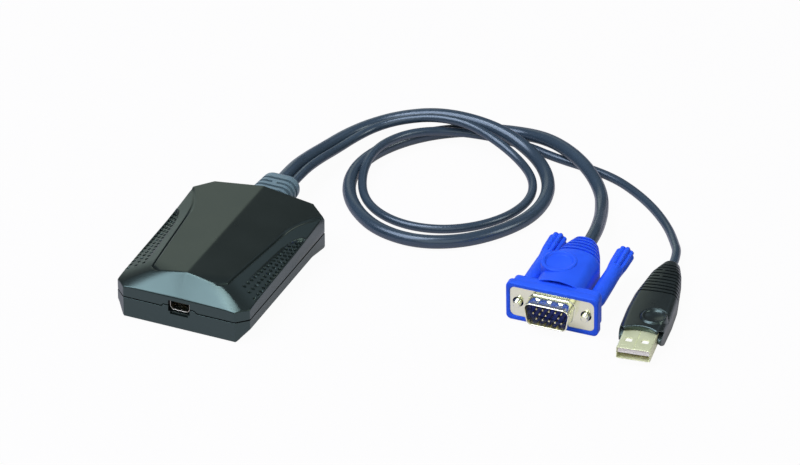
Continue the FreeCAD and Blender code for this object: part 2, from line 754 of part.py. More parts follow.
def make_case_insides():
    """Board, chips, headers and the four screws that close the case."""
    board = new_body("circuit_board")
    outline = sketch_at(board, "XY", "board_bottom")
    polygon(outline, [(f"0 - {BOARD_HALF}", BOARD_FRONT), (BOARD_HALF, BOARD_FRONT),
                      (BOARD_HALF, BOARD_REAR), (f"0 - {BOARD_HALF}", BOARD_REAR)])
    extrude(board, "Pad", outline, "board_thickness")
    top = "board_bottom + board_thickness"
    middle = f"({BOARD_FRONT} + {BOARD_REAR}) / 2"
    for label, rows, datum in (("board_chips", CHIPS, middle), ("cord_headers", HEADERS, BOARD_REAR)):
        solids = []
        for i, (width, length, height, x, y) in enumerate(rows):
            solids.append(box(f"{label}_{i}", width, length, height, x, f"{datum} + {y}", top))
        group(label, solids)
    screws = []
    for i, (sx, sy) in enumerate(((1, 1), (-1, 1), (-1, -1), (1, -1))):
        place = (f"{sx} * {SCREW_X}", f"{sy} * {SCREW_Y}")
        up = Vector(0, 0, 1)
        low = "screw_head_depth - screw_head_thickness"
        head = cylinder(f"screw_head_{i}", "screw_head_radius", "screw_head_thickness", *place, low, up)
        shank = cylinder(f"screw_shank_{i}", "screw_shank_radius", "screw_reach - screw_head_depth",
                         *place, "screw_head_depth", up)
        screws.append(fuse(f"screw_{i}", head, shank))
    group("case_screws", screws)


def socket_corners(inset):
    """The mini-B outline, narrower at its foot."""
    half = f"(socket_half_width - ({inset}))"
    foot = f"(socket_foot_half - ({inset}))"
    top = f"(socket_height + socket_half_height - ({inset}))"
    low = f"(socket_height - socket_half_height + ({inset}))"
    waist = f"({low} + socket_foot_rise)"
    return [(f"0 - {foot}", low), (foot, low), (half, waist), (half, top), (f"0 - {half}", top),
            (f"0 - {half}", waist)]


def make_socket():
    """Mini-B socket: a folded shell, its tongue and five contacts."""
    body = new_body("socket_shell")
    front = "(case_length / 2 - socket_setback)"
    outer = sketch_at(body, "XZ", front)
    polygon(outer, socket_corners("0"))
    extrude(body, "Pad", outer, "socket_depth", True)
    inner = sketch_at(body, "XZ", f"{front} + cut_over")
    polygon(inner, socket_corners("socket_sheet"))
    extrude(body, "Pocket", inner, "socket_depth + cut_over - socket_sheet")
    back = "(0 - case_length / 2 + socket_setback + socket_depth - socket_sheet)"
    middle = f"{back} - socket_tongue_length / 2"
    tongue_z = "socket_height + socket_tongue_lift"
    tongue = box("socket_tongue", "socket_tongue_width", "socket_tongue_length",
                 "socket_tongue_thickness", "0", middle, tongue_z)
    nodes.append(tongue)
    contacts = []
    for i in range(SOCKET_CONTACTS):
        place = f"({i} - {(SOCKET_CONTACTS - 1) / 2})"
        contacts.append(box(f"socket_contact_{i}", "socket_contact_width",
                            "socket_tongue_length - socket_contact_setback",
                            "socket_contact_thickness", f"{place} * socket_contact_pitch",
                            f"{back} - (socket_tongue_length - socket_contact_setback) / 2",
                            f"{tongue_z} - socket_contact_thickness"))
    group("socket_contacts", contacts)


def make_strain_relief():
    """Flat boot behind the case: slotted rings that alternate, a neck and a flange inside the wall."""
    body = new_body("strain_relief")
    wall_y = "(case_length / 2)"
    stations = (("0", "relief_root_half", "relief_root_rise"),
                ("relief_shoulder_length", "relief_end_half", "relief_end_rise"),
                ("relief_length", "relief_tip_half", "relief_tip_rise"))
    sections = []
    for along, half, rise in stations:
        section = sketch_at(body, "XZ", f"0 - {wall_y} - {along}")
        rounded_rect(section, half, rise, f"{rise} - relief_flat / 2", "relief_offset", "relief_axis_height")
        sections.append(section)
    loft(body, "AdditiveLoft", sections)
    neck = sketch_at(body, "XZ", f"0 - {wall_y}")
    relief_outline(neck)
    extrude(body, "Pad", neck, "case_wall")
    flange = sketch_at(body, "XZ", f"0 - {wall_y} + case_wall")
    rounded_rect(flange, "relief_flange_half", "relief_flange_rise", "relief_flange_rise - relief_flat / 2",
                 "relief_offset", "relief_axis_height")
    extrude(body, "Pad", flange, "relief_flange_thickness")
    for i in range(RELIEF_SLOTS):
        along = f"(slot_first + {i} * slot_pitch)"
        share = f"({along} / relief_shoulder_length)"
        half = f"(relief_root_half + (relief_end_half - relief_root_half) * {share})"
        rise = f"(relief_root_rise + (relief_end_rise - relief_root_rise) * {share})"
        ring = sketch_at(body, "XZ", f"0 - {wall_y} - {along} + slot_width / 2")
        low, high = f"(relief_axis_height - {rise} - cut_over)", f"(relief_axis_height + {rise} + cut_over)"
        core_low = f"(relief_axis_height - {rise} + slot_depth)"
        core_high = f"(relief_axis_height + {rise} - slot_depth)"
        left, right = f"(relief_offset - {half} - cut_over)", f"(relief_offset + {half} + cut_over)"
        core_left = f"(relief_offset - {half} + slot_depth)"
        core_right = f"(relief_offset + {half} - slot_depth)"
        if i % 2 == 0:
            side_left = f"(relief_offset - {half} + slot_bridge)"
            side_right = f"(relief_offset + {half} - slot_bridge)"
            polygon(ring, [(side_left, core_high), (side_right, core_high), (side_right, high),
                           (side_left, high)])
            polygon(ring, [(side_left, low), (side_right, low), (side_right, core_low),
                           (side_left, core_low)])
        else:
            bridge = "slot_bridge / 2"
            polygon(ring, [(f"relief_offset + {bridge}", core_high), (core_right, core_high),
                           (core_right, core_low), (f"relief_offset + {bridge}", core_low),
                           (f"relief_offset + {bridge}", low), (right, low), (right, high),
                           (f"relief_offset + {bridge}", high)])
            polygon(ring, [(f"relief_offset - {bridge}", core_high), (f"relief_offset - {bridge}", high),
                           (left, high), (left, low), (f"relief_offset - {bridge}", low),
                           (f"relief_offset - {bridge}", core_low), (core_left, core_low),
                           (core_left, core_high)])
        extrude(body, "Pocket", ring, "slot_width")


# Plugs

def video_placement():
    """Where the video plug lies: its bezel's lower front edge rests on the surface."""
    yaw = FreeCAD.Rotation(Vector(0, 0, 1), size("video_yaw"))
    turn = yaw.multiply(FreeCAD.Rotation(Vector(1, 0, 0), size("video_pitch")))
    pitch = math.radians(size("video_pitch"))
    lift = size("bezel_height") / 2 * math.cos(pitch) + size("bezel_proud") * math.sin(pitch)
    return FreeCAD.Placement(Vector(size("video_x"), size("video_y"), lift), turn)


def serial_placement():
    """Where the serial plug lies: its hood flat on the surface."""
    turn = FreeCAD.Rotation(Vector(0, 0, 1), size("serial_yaw"))
    return FreeCAD.Placement(Vector(size("serial_x"), size("serial_y"), size("serial_hood_rise")), turn)


def ring_groove(body, y, width, half, rise, radius, depth, x="0"):
    """A groove of even depth around a hood."""
    ring = sketch_at(body, "XZ", f"0 - ({y}) + {width} / 2")
    left, right = f"({x} - {half} - cut_over)", f"({x} + {half} + cut_over)"
    tall = f"({rise} + cut_over)"
    polygon(ring, [(left, f"0 - {tall}"), (right, f"0 - {tall}"), (right, tall), (left, tall)])
    rounded_rect(ring, f"({half} - {depth})", f"({rise} - {depth})", radius, x)
    extrude(body, "Pocket", ring, width)


def between(start, end, share):
    """Expression part of the way from one size to another."""
    return f"({start} + ({end} - {start}) * {share})"


def d_corners(inset):
    """The D outline, wide side up, with both sides leaning in."""
    top = f"(d_top_half - ({inset}))"
    foot = f"(d_foot_half - ({inset}))"
    tall = f"(d_half_height - ({inset}))"
    return [(f"0 - {foot}", f"0 - {tall}"), (foot, f"0 - {tall}"), (top, tall), (f"0 - {top}", tall)]


def make_video_hood():
    """Moulded hood: a bezel, a stepped flange, a body with a dished thumb boss and a grooved tail."""
    body = new_body("video_hood")
    bezel = sketch_at(body, "XZ", "bezel_proud")
    rounded_rect(bezel, "bezel_width / 2", "bezel_height / 2", "bezel_radius")
    extrude(body, "Pad", bezel, "bezel_proud + bezel_depth", True)
    flange = sketch_at(body, "XZ", "0 - bezel_depth")
    rounded_rect(flange, "bezel_width / 2 - flange_inset", "bezel_height / 2 - flange_inset", "bezel_radius")
    extrude(body, "Pad", flange, "flange_depth - bezel_depth", True)
    waist_lean = "(0 - video_tail_lean / 2)"
    stations = (("flange_depth - cut_over", "video_body_half", "video_body_rise", "0"),
                ("video_body_end", "video_body_half", "video_body_rise", "0"),
                ("video_waist_end", "video_waist_half", "video_waist_rise", waist_lean),
                ("video_tail_end", "video_tail_half", "video_tail_rise", "(0 - video_tail_lean)"))
    sections = []
    for along, half, rise, lean in stations:
        section = sketch_at(body, "XZ", f"0 - ({along})")
        rounded_rect(section, half, rise, "video_body_radius", lean)
        sections.append(section)
    loft(body, "AdditiveLoft", sections)
    window = sketch_at(body, "XZ", "bezel_proud + cut_over")
    rounded_rect(window, "plate_width / 2 + fit_gap", "plate_height / 2 + fit_gap", "plate_radius")
    extrude(body, "Pocket", window, "bezel_proud + cut_over + plate_thickness")
    cavity = sketch_at(body, "XZ", "0")
    rounded_polygon(cavity, d_corners("d_sheet - fit_gap"), "d_corner_radius - d_sheet + fit_gap")
    extrude(body, "Pocket", cavity, "insulator_back + fit_gap")
    holes = sketch_at(body, "XZ", "cut_over")
    for side in (1, -1):
        circle(holes, f"{side} * jack_spacing / 2", "0", "jack_hole_radius")
    extrude(body, "Pocket", holes, "flange_depth + 2 * cut_over")
    boss = sketch_at(body, "XY", "video_body_rise / 2")
    circle(boss, "0 - video_boss_shift", "video_boss_y", "video_boss_radius")
    extrude(body, "Pad", boss, "video_boss_top - video_body_rise / 2")
    recess = sketch_at(body, "XY", "video_boss_top + cut_over")
    circle(recess, "0 - video_boss_shift", "video_boss_y", "video_recess_radius")
    extrude(body, "Pocket", recess, "video_recess_depth + cut_over")
    for i in range(VIDEO_GROOVES):
        y = f"(video_tail_end - video_groove_margin - {i} * video_groove_pitch)"
        if value_of(y) > size("video_waist_end"):
            share = f"(({y} - video_waist_end) / (video_tail_end - video_waist_end))"
            half = between("video_waist_half", "video_tail_half", share)
            rise = between("video_waist_rise", "video_tail_rise", share)
            lean = between(waist_lean, "(0 - video_tail_lean)", share)
        else:
            share = f"(({y} - video_body_end) / (video_waist_end - video_body_end))"
            half = between("video_body_half", "video_waist_half", share)
            rise = between("video_body_rise", "video_waist_rise", share)
            lean = between("0", waist_lean, share)
        ring_groove(body, y, "video_groove_width", half, rise, "video_body_radius",
                    "video_groove_depth", lean)
    body.Placement = video_placement()


def make_video_shell():
    """Drawn steel shell: a plate with two screw holes and the D-shaped skirt."""
    body = new_body("video_shell")
    plate = sketch_at(body, "XZ", "0")
    rounded_rect(plate, "plate_width / 2", "plate_height / 2", "plate_radius")
    extrude(body, "Pad", plate, "plate_thickness", True)
    skirt = sketch_at(body, "XZ", "0")
    rounded_polygon(skirt, d_corners("0"), "d_corner_radius")
    extrude(body, "Pad", skirt, "d_projection")
    inside = sketch_at(body, "XZ", "d_projection + cut_over")
    rounded_polygon(inside, d_corners("d_sheet"), "d_corner_radius - d_sheet")
    extrude(body, "Pocket", inside, "d_projection + plate_thickness + 2 * cut_over")
    holes = sketch_at(body, "XZ", "cut_over")
    for side in (1, -1):
        circle(holes, f"{side} * jack_spacing / 2", "0", "jack_hole_radius")
    extrude(body, "Pocket", holes, "plate_thickness + 2 * cut_over")
    body.Placement = video_placement()


def pin_places():
    """Places of the fifteen pin holes, top row first: x and z as expressions, and the row and column."""
    for row in (1, 0, -1):
        shift = 0.25 if row else -0.25
        for column in range(PINS_PER_ROW):
            x = f"pin_pitch * ({column} - {(PINS_PER_ROW - 1) / 2} + {shift})"
            yield x, f"{row} * pin_row_pitch", (row, column)


def make_video_contacts():
    """Insulator with fifteen holes and fourteen pins."""
    body = new_body("video_insulator")
    outline = sketch_at(body, "XZ", "insulator_face")
    rounded_polygon(outline, d_corners("d_sheet + fit_gap"), "d_corner_radius - d_sheet - fit_gap")
    extrude(body, "Pad", outline, "insulator_face + insulator_back", True)
    holes = sketch_at(body, "XZ", "insulator_face + cut_over")
    for x, z, _ in pin_places():
        circle(holes, x, z, "pin_radius")
    extrude(body, "Pocket", holes, "insulator_face + insulator_back")
    body.Placement = video_placement()
    pins = []
    for x, z, place in pin_places():
        if place == EMPTY_PIN:
            continue
        name = f"pin_{place[0] + 1}_{place[1]}"
        pins.append(cylinder(name, "pin_radius", "pin_reach + insulator_back - pin_back_gap", x,
                             "0 - pin_reach", z, Vector(0, 1, 0), video_placement()))
    group("video_pins", pins)


def make_thumbscrew(side_name, side):
    """One jackscrew: a fluted moulded knob on a steel screw that runs through the flange."""
    at_screw = FreeCAD.Placement(Vector(side * size("jack_spacing") / 2, 0, 0), FreeCAD.Rotation())
    body = new_body(f"knob_{side_name}")
    collar = sketch_at(body, "XZ", "0 - knob_start")
    circle(collar, "0", "0", "knob_collar_radius")
    extrude(body, "Pad", collar, "knob_collar_end - knob_start", True)
    grip = sketch_at(body, "XZ", "0 - knob_collar_end")
    circle(grip, "0", "0", "knob_radius")
    extrude(body, "Pad", grip, "knob_end - knob_collar_end", True)
    flute = sketch_at(body, "XZ", "0 - knob_collar_end")
    circle(flute, "knob_radius", "0", "flute_radius")
    cut = extrude(body, "Pocket", flute, "knob_end - knob_collar_end + cut_over")
    pattern = body.newObject("PartDesign::PolarPattern", f"{body.Name}Flutes")
    pattern.Originals = [cut]
    axis = [f for f in body.Origin.OriginFeatures if f.Role == "Y_Axis"][0]
    pattern.Axis = (axis, [""])
    pattern.Angle = 360.0
    pattern.setExpression("Occurrences", ref("flute_count"))
    body.Tip = pattern
    bore = sketch_at(body, "XZ", "0 - knob_start + cut_over")
    circle(bore, "0", "0", "jack_radius")
    extrude(body, "Pocket", bore, "knob_collar_end - knob_start + cut_over")
    body.Placement = video_placement().multiply(at_screw)
    screw = cylinder(f"jackscrew_{side_name}", "jack_radius", "jack_reach + knob_collar_end", "0",
                     "0 - jack_reach", "0", Vector(0, 1, 0), video_placement().multiply(at_screw))
    nodes.append(screw)


def make_serial_plug():
    """USB-A plug: a folded shell with two windows, its tongue, four contacts and a ribbed hood."""
    place = serial_placement()
    shell = new_body("serial_shell")
    outer = sketch_at(shell, "XZ", "0")
    rounded_rect(outer, "serial_shell_width / 2", "serial_shell_height / 2", "serial_shell_radius")
    rounded_rect(outer, "serial_shell_width / 2 - serial_shell_sheet",
                 "serial_shell_height / 2 - serial_shell_sheet", "serial_shell_radius - serial_shell_sheet")
    extrude(shell, "Pad", outer, "serial_shell_length", True)
    windows = sketch_at(shell, "XY", "serial_shell_height / 2 + cut_over")
    for side in (1, -1):
        x = f"{side} * serial_window_across / 2"
        half = "serial_window_width / 2"
        low, high = (f"(serial_window_y + {sign} serial_window_length / 2)" for sign in ("0 -", "0 +"))
        polygon(windows, [(f"{x} - {half}", low), (f"{x} + {half}", low), (f"{x} + {half}", high),
                          (f"{x} - {half}", high)])
    extrude(shell, "Pocket", windows, "cut_over + serial_shell_sheet + fit_gap")
    shell.Placement = place

    inside = "(serial_shell_height / 2 - serial_shell_sheet)"
    width = "serial_shell_width - 2 * serial_shell_sheet - 2 * fit_gap"
    length = "(serial_shell_length - serial_tongue_front)"
    middle = f"(serial_tongue_front + {length} / 2)"
    foot = f"{inside} - fit_gap - serial_tongue_height"
    tongue = box("serial_tongue", width, length, "serial_tongue_height", "0", middle, foot, place)
    nodes.append(tongue)
    contacts = []
    for i in range(SERIAL_CONTACTS):
        x = f"serial_contact_pitch * ({i} - {(SERIAL_CONTACTS - 1) / 2})"
        y = "serial_tongue_front + serial_contact_setback + serial_contact_length / 2"
        contacts.append(box(f"serial_contact_{i}", "serial_contact_width", "serial_contact_length",
                            "serial_contact_thickness", x, y, f"{foot} - serial_contact_thickness", place))
    group("serial_contacts", contacts)

    hood = new_body("serial_hood")
    stations = (("serial_wing_front", "serial_hood_front_half", "serial_hood_rise"),
                ("serial_hood_belly_y", "serial_hood_belly_half", "serial_hood_rise"),
                ("serial_hood_rib_y", "serial_hood_rib_half", "serial_hood_rise"),
                ("serial_hood_neck_y", "serial_hood_neck_half", "serial_hood_neck_rise"),
                ("serial_hood_end", "serial_hood_end_half", "serial_hood_end_rise"))
    sections = []
    for along, half, rise in stations:
        section = sketch_at(hood, "XZ", f"0 - {along}")
        rounded_rect(section, half, rise, "serial_hood_radius")
        sections.append(section)
    loft(hood, "AdditiveLoft", sections)
    mouth = sketch_at(hood, "XZ", "0 - serial_wing_front + cut_over")
    half = "(serial_shell_width / 2 + fit_gap)"
    tall = "(serial_hood_rise + cut_over)"
    polygon(mouth, [(f"0 - {half}", f"0 - {tall}"), (half, f"0 - {tall}"), (half, tall),
                    (f"0 - {half}", tall)])
    extrude(hood, "Pocket", mouth, "serial_hood_front - serial_wing_front + cut_over")
    seat = sketch_at(hood, "XZ", "0 - serial_hood_front + cut_over")
    rounded_rect(seat, "serial_shell_width / 2", "serial_shell_height / 2", "serial_shell_radius")
    extrude(hood, "Pocket", seat, "serial_shell_length - serial_hood_front + cut_over")
    boss = sketch_at(hood, "XY", "serial_hood_rise / 2")
    circle(boss, "serial_boss_shift", "serial_boss_y", "serial_boss_radius")
    extrude(hood, "Pad", boss, "serial_boss_top - serial_hood_rise / 2")
    recess = sketch_at(hood, "XY", "serial_boss_top + cut_over")
    circle(recess, "serial_boss_shift", "serial_boss_y", "serial_recess_radius")
    extrude(hood, "Pocket", recess, "serial_recess_depth + cut_over")
    for i in range(int(size("serial_rib_count"))):
        y = f"(serial_hood_rib_y + serial_rib_margin + {i} * serial_rib_pitch)"
        if value_of(y) < size("serial_hood_neck_y"):
            share = f"(({y} - serial_hood_rib_y) / (serial_hood_neck_y - serial_hood_rib_y))"
            half = between("serial_hood_rib_half", "serial_hood_neck_half", share)
            rise = between("serial_hood_rise", "serial_hood_neck_rise", share)
        else:
            share = f"(({y} - serial_hood_neck_y) / (serial_hood_end - serial_hood_neck_y))"
            half = between("serial_hood_neck_half", "serial_hood_end_half", share)
            rise = between("serial_hood_neck_rise", "serial_hood_end_rise", share)
        ring_groove(hood, y, "serial_rib_width", half, rise, "serial_hood_radius - serial_rib_depth",
                    "serial_rib_depth")
    hood.Placement = place


# Cords

def cord_path(label, points, diameter):
    """Straight runs joined by the largest arcs that the runs allow, as one wire."""
    edges = []
    radii = []
    last = points[0]
    for before, corner, after in zip(points, points[1:], points[2:]):
        arriving = (corner - before).normalize()
        leaving = (after - corner).normalize()
        turn = math.acos(max(-1.0, min(1.0, arriving.dot(leaving))))
        shorter = min((corner - before).Length, (after - corner).Length)
        setback = ARC_SHARE * shorter
        radius = setback / math.tan(turn / 2)
        start = corner - arriving * setback
        end = corner + leaving * setback
        inward = (leaving - arriving).normalize()
        middle = corner + inward * (radius / math.cos(turn / 2) - radius)
        edges.append(Part.LineSegment(last, start).toShape())
        edges.append(Part.Arc(start, middle, end).toShape())
        radii.append(radius)
        last = end
    edges.append(Part.LineSegment(last, points[-1]).toShape())
    wire = Part.Wire(edges)
    print(label, "length", round(wire.Length, 1), "radii", [round(r, 1) for r in radii])
    if min(radii) < 4 * diameter:
        print(label, "has a bend tighter than four diameters")
    return wire


def make_cord(label, start, route, placement, tail, diameter):
    """A round tube that leaves the strain relief squarely and meets a plug's tail squarely."""
    end = placement.multVec(tail)
    lead_out = start + Vector(0, size("cord_lead"), 0)
    lead_in = placement.multVec(tail + Vector(0, size("plug_lead"), 0))
    points = [start, lead_out] + [Vector(*p) for p in route] + [lead_in, end]
    print(label, "ends", [tuple(round(c, 2) for c in p) for p in (start, lead_out, lead_in, end)])
    wire = cord_path(label, points, diameter)
    section = Part.Wire(Part.Circle(start, Vector(0, 1, 0), diameter / 2).toShape())
    tube = wire.makePipeShell([section], True, False)
    expected = math.pi * diameter ** 2 / 4 * wire.Length
    print(label, "volume against section times length", round(tube.Volume / expected, 4))
    shaped(label, tube)


def make_cords():
    """Both cords, from the strain relief's end to the tails of the plugs."""
    exit_y = size("case_length") / 2 + size("relief_length")
    rise = size("relief_axis_height")
    thick_start = Vector(size("relief_offset") + size("thick_cord_across"), exit_y, rise)
    thin_start = Vector(size("relief_offset") + size("thin_cord_across"), exit_y, rise)
    video_tail = Vector(-size("video_tail_lean"), size("video_tail_end"), 0)
    serial_tail = Vector(0, size("serial_hood_end"), 0)
    make_cord("video_cord", thick_start, THICK_ROUTE, video_placement(), video_tail,
              size("thick_cord_diameter"))
    make_cord("serial_cord", thin_start, THIN_ROUTE, serial_placement(), serial_tail,
              size("thin_cord_diameter"))


make_lower_case()
make_upper_cover()
make_case_insides()
make_socket()
make_strain_relief()
make_video_hood()
make_video_shell()
make_video_contacts()
for name, sign in (("left", -1), ("right", 1)):
    make_thumbscrew(name, sign)
make_serial_plug()
make_cords()
doc.recompute()

# Every object has to be sound before a file is written.
for item in doc.Objects:
    if "Invalid" in item.State or "Error" in item.State:
        raise ValueError(f"{item.Label} did not compute: {item.State}")
for node in nodes:
    if node.Shape.isNull() or not node.Shape.isValid() or not node.Shape.Solids:
        raise ValueError(f"{node.Label} is not a sound solid")

os.makedirs("parts", exist_ok=True)
for node in nodes:
    node.Shape.exportStep(f"parts/{node.Label}.step")
    solids = node.Shape.Solids
    print(node.Label, len(solids), "solids", round(sum(s.Volume for s in solids), 1), "mm3")
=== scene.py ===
"""Looks of a small console adapter: case, boot, two cords, video plug and serial plug.

Lengths inside the classes are in millimetres in the row frame, and each finished mesh is
scaled to metres once, when it is built. A plug is drawn about its own axes: x across it,
y from its front to its tail, called the station, and z up. Its pose then moves it into place.
"""
import logging
import math
from dataclasses import dataclass
from enum import Enum

import bmesh
import bpy
import numpy as np
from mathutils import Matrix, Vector
from mathutils.geometry import tessellate_polygon


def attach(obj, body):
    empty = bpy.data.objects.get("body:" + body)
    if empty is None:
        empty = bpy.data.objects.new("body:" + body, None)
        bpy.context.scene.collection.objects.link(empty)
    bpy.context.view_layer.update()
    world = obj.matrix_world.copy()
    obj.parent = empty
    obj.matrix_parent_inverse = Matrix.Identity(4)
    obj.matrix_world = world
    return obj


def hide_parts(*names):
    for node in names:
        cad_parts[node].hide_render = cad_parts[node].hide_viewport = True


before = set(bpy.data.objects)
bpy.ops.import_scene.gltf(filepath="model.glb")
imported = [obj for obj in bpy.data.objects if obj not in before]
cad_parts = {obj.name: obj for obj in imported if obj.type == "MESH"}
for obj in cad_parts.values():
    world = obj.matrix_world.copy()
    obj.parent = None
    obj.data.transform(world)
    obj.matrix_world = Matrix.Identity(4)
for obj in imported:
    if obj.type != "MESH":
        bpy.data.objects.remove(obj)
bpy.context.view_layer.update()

log = logging.getLogger("adapter")

MM = 0.001
QUARTER = 0.5 * math.pi
NEAR = 1e-3  # slack in millimetres when places are compared
UPRIGHT = 0.99  # least upward part of a normal that counts as straight up
SIGNS = ((-1, -1), (-1, 1), (1, -1), (1, 1))
Array = np.ndarray
Counts = int | tuple[int, ...]
Spot = tuple[float, float]
Point = tuple[float, float, float]


class Body(str, Enum):
    """Names of the moving bodies that pieces ride on."""

    ADAPTER = "adapter"
    LEFT_SCREW = "thumbscrew_left"
    RIGHT_SCREW = "thumbscrew_right"


def linear_colour(text: str) -> tuple[float, float, float, float]:
    """Turn an sRGB hex colour into linear light.

    Args:
        text: Six hex digits after a hash sign.

    Returns:
        Linear red, green, blue and an alpha of one.
    """
    srgb = np.array([int(text[i : i + 2], 16) for i in (1, 3, 5)]) / 255.0
    low = srgb / 12.92
    high = ((srgb + 0.055) / 1.055) ** 2.4
    red, green, blue = np.where(srgb <= 0.04045, low, high)
    return float(red), float(green), float(blue), 1.0


def smooth_step(low: float, high: float, value: Array) -> Array:
    """Ease from 0 at low to 1 at high with the cubic 3t^2 - 2t^3."""
    t = np.clip((value - low) / (high - low), 0.0, 1.0)
    return t * t * (3.0 - 2.0 * t)


def soft_min(a: Array, b: Array, width: float) -> Array:
    """Smaller of two heights, with the crease rounded over the given height."""
    h = np.clip(0.5 + 0.5 * (b - a) / width, 0.0, 1.0)
    return b * (1.0 - h) + a * h - width * h * (1.0 - h)


def eased(value: Array, knots: list[float], levels: list[float], reach: float = 1.0) -> Array:
    """Straight runs between knots, with each corner rounded by averaging over the reach."""
    offsets = np.linspace(-reach, reach, 7)
    return sum(np.interp(value + offset, knots, levels) for offset in offsets) / len(offsets)


def bell(value: Array, width: float) -> Array:
    """Bell curve of height one and the given half width."""
    return np.exp(-((value / width) ** 2))


def rounding(share: Array) -> Array:
    """Drop of a quarter circle of radius one: 1 - sqrt(1 - share^2)."""
    return 1.0 - np.sqrt(1.0 - share * share)


def quarter_turn(samples: int, first: int = 0) -> Array:
    """Even angles from nought to a right angle, without the ones before the first."""
    return np.linspace(0.0, QUARTER, samples)[first:]


def mirrored(right: Array) -> Array:
    """Values from nought outwards, with the same ones on the other side of nought."""
    return np.concatenate([-right[:0:-1], right])


def stack(x: Array, y: Array | float, z: Array | float) -> Array:
    """Points from x, y and z, each spread to the shape that all of them share."""
    return np.stack(np.broadcast_arrays(x, y, z), axis=-1)


def add_node(
    tree: bpy.types.NodeTree, kind: str, values: dict | None = None, links: dict | None = None,
    **settings: str,
) -> bpy.types.Node:
    """Add one node with its settings, socket values and links.

    Args:
        tree: Node tree that gets the node.
        kind: Blender's name of the node type, after the word ShaderNode.
        values: Socket values by socket name or number.
        links: Sockets of other nodes by the name or number of the socket they feed.
        settings: Properties of the node.

    Returns:
        The new node.
    """
    node = tree.nodes.new(f"ShaderNode{kind}")
    for key, value in settings.items():
        setattr(node, key, value)
    for key, value in (values or {}).items():
        node.inputs[key].default_value = value
    for key, source in (links or {}).items():
        tree.links.new(source, node.inputs[key])
    return node


def empty_tree(owner: bpy.types.Material | bpy.types.World) -> bpy.types.NodeTree:
    """Give an owner an empty node tree.

    Args:
        owner: Material or world.

    Returns:
        Its node tree.
    """
    owner.use_nodes = True
    owner.node_tree.nodes.clear()
    return owner.node_tree


@dataclass(frozen=True)
class Finish:
    """Recipe of one real material, built as procedural nodes.

    The fine grain of a moulded skin is about a twentieth of a millimetre, too fine to show in
    the render, so it is drawn six to ten times as coarse.

    Attributes:
        name: Name of the real material.
        slot: Material slot of the record that it stands for; not used.
        colour: Main colour, sRGB hex.
        shade: Second colour that the slow mottling drifts towards.
        roughness: Middle roughness.
        spread: How far the roughness drifts either side.
        metal: Metallic value.
        grain: Size of the fine grain in millimetres.
        bump: Height of the fine grain in millimetres.
        patch: Size of the slow mottling in millimetres.
        specular: Specular level of the plastic skin.
        tint: Colour of the skin's reflections, sRGB hex.
    """

    name: str
    slot: str
    colour: str
    shade: str
    roughness: float
    spread: float = 0.06
    metal: float = 0.0
    grain: float = 0.4
    bump: float = 0.01
    patch: float = 9.0
    specular: float = 0.5
    tint: str = "#ffffff"

    def make(self) -> bpy.types.Material:
        """Build the node material, or return it if it is there already.

        Returns:
            The material, mottled in colour and roughness, with a fine grain as bump.
        """
        ready = bpy.data.materials.get(self.name)
        if ready:
            return ready
        material = bpy.data.materials.new(self.name)
        tree = empty_tree(material)
        place = {"Vector": add_node(tree, "TexCoord").outputs["Object"]}
        patches = {"Scale": 1.0 / (self.patch * MM), "Detail": 3.0, "Roughness": 0.55}
        slow = add_node(tree, "TexNoise", patches, place).outputs["Fac"]
        grains = {"Scale": 1.0 / (self.grain * MM), "Detail": 2.0, "Roughness": 0.6}
        fine = add_node(tree, "TexNoise", grains, place).outputs["Fac"]
        ramp = add_node(tree, "ValToRGB", links={"Fac": slow})
        first, last = ramp.color_ramp.elements
        first.position, last.position = 0.3, 0.7
        first.color, last.color = linear_colour(self.shade), linear_colour(self.colour)
        drift = {
            "From Min": 0.25,
            "From Max": 0.75,
            "To Min": self.roughness - self.spread,
            "To Max": self.roughness + self.spread,
        }
        gloss = add_node(tree, "MapRange", drift, {"Value": slow})
        bump = add_node(tree, "Bump", {"Strength": 0.6, "Distance": self.bump * MM}, {"Height": fine})
        skin = {
            "Metallic": self.metal,
            "Specular IOR Level": self.specular,
            "Specular Tint": linear_colour(self.tint),
        }
        feeds = {
            "Base Color": ramp.outputs["Color"],
            "Roughness": gloss.outputs["Result"],
            "Normal": bump.outputs["Normal"],
        }
        shader = add_node(tree, "BsdfPrincipled", skin, feeds)
        add_node(tree, "OutputMaterial", links={"Surface": shader.outputs["BSDF"]})
        return material


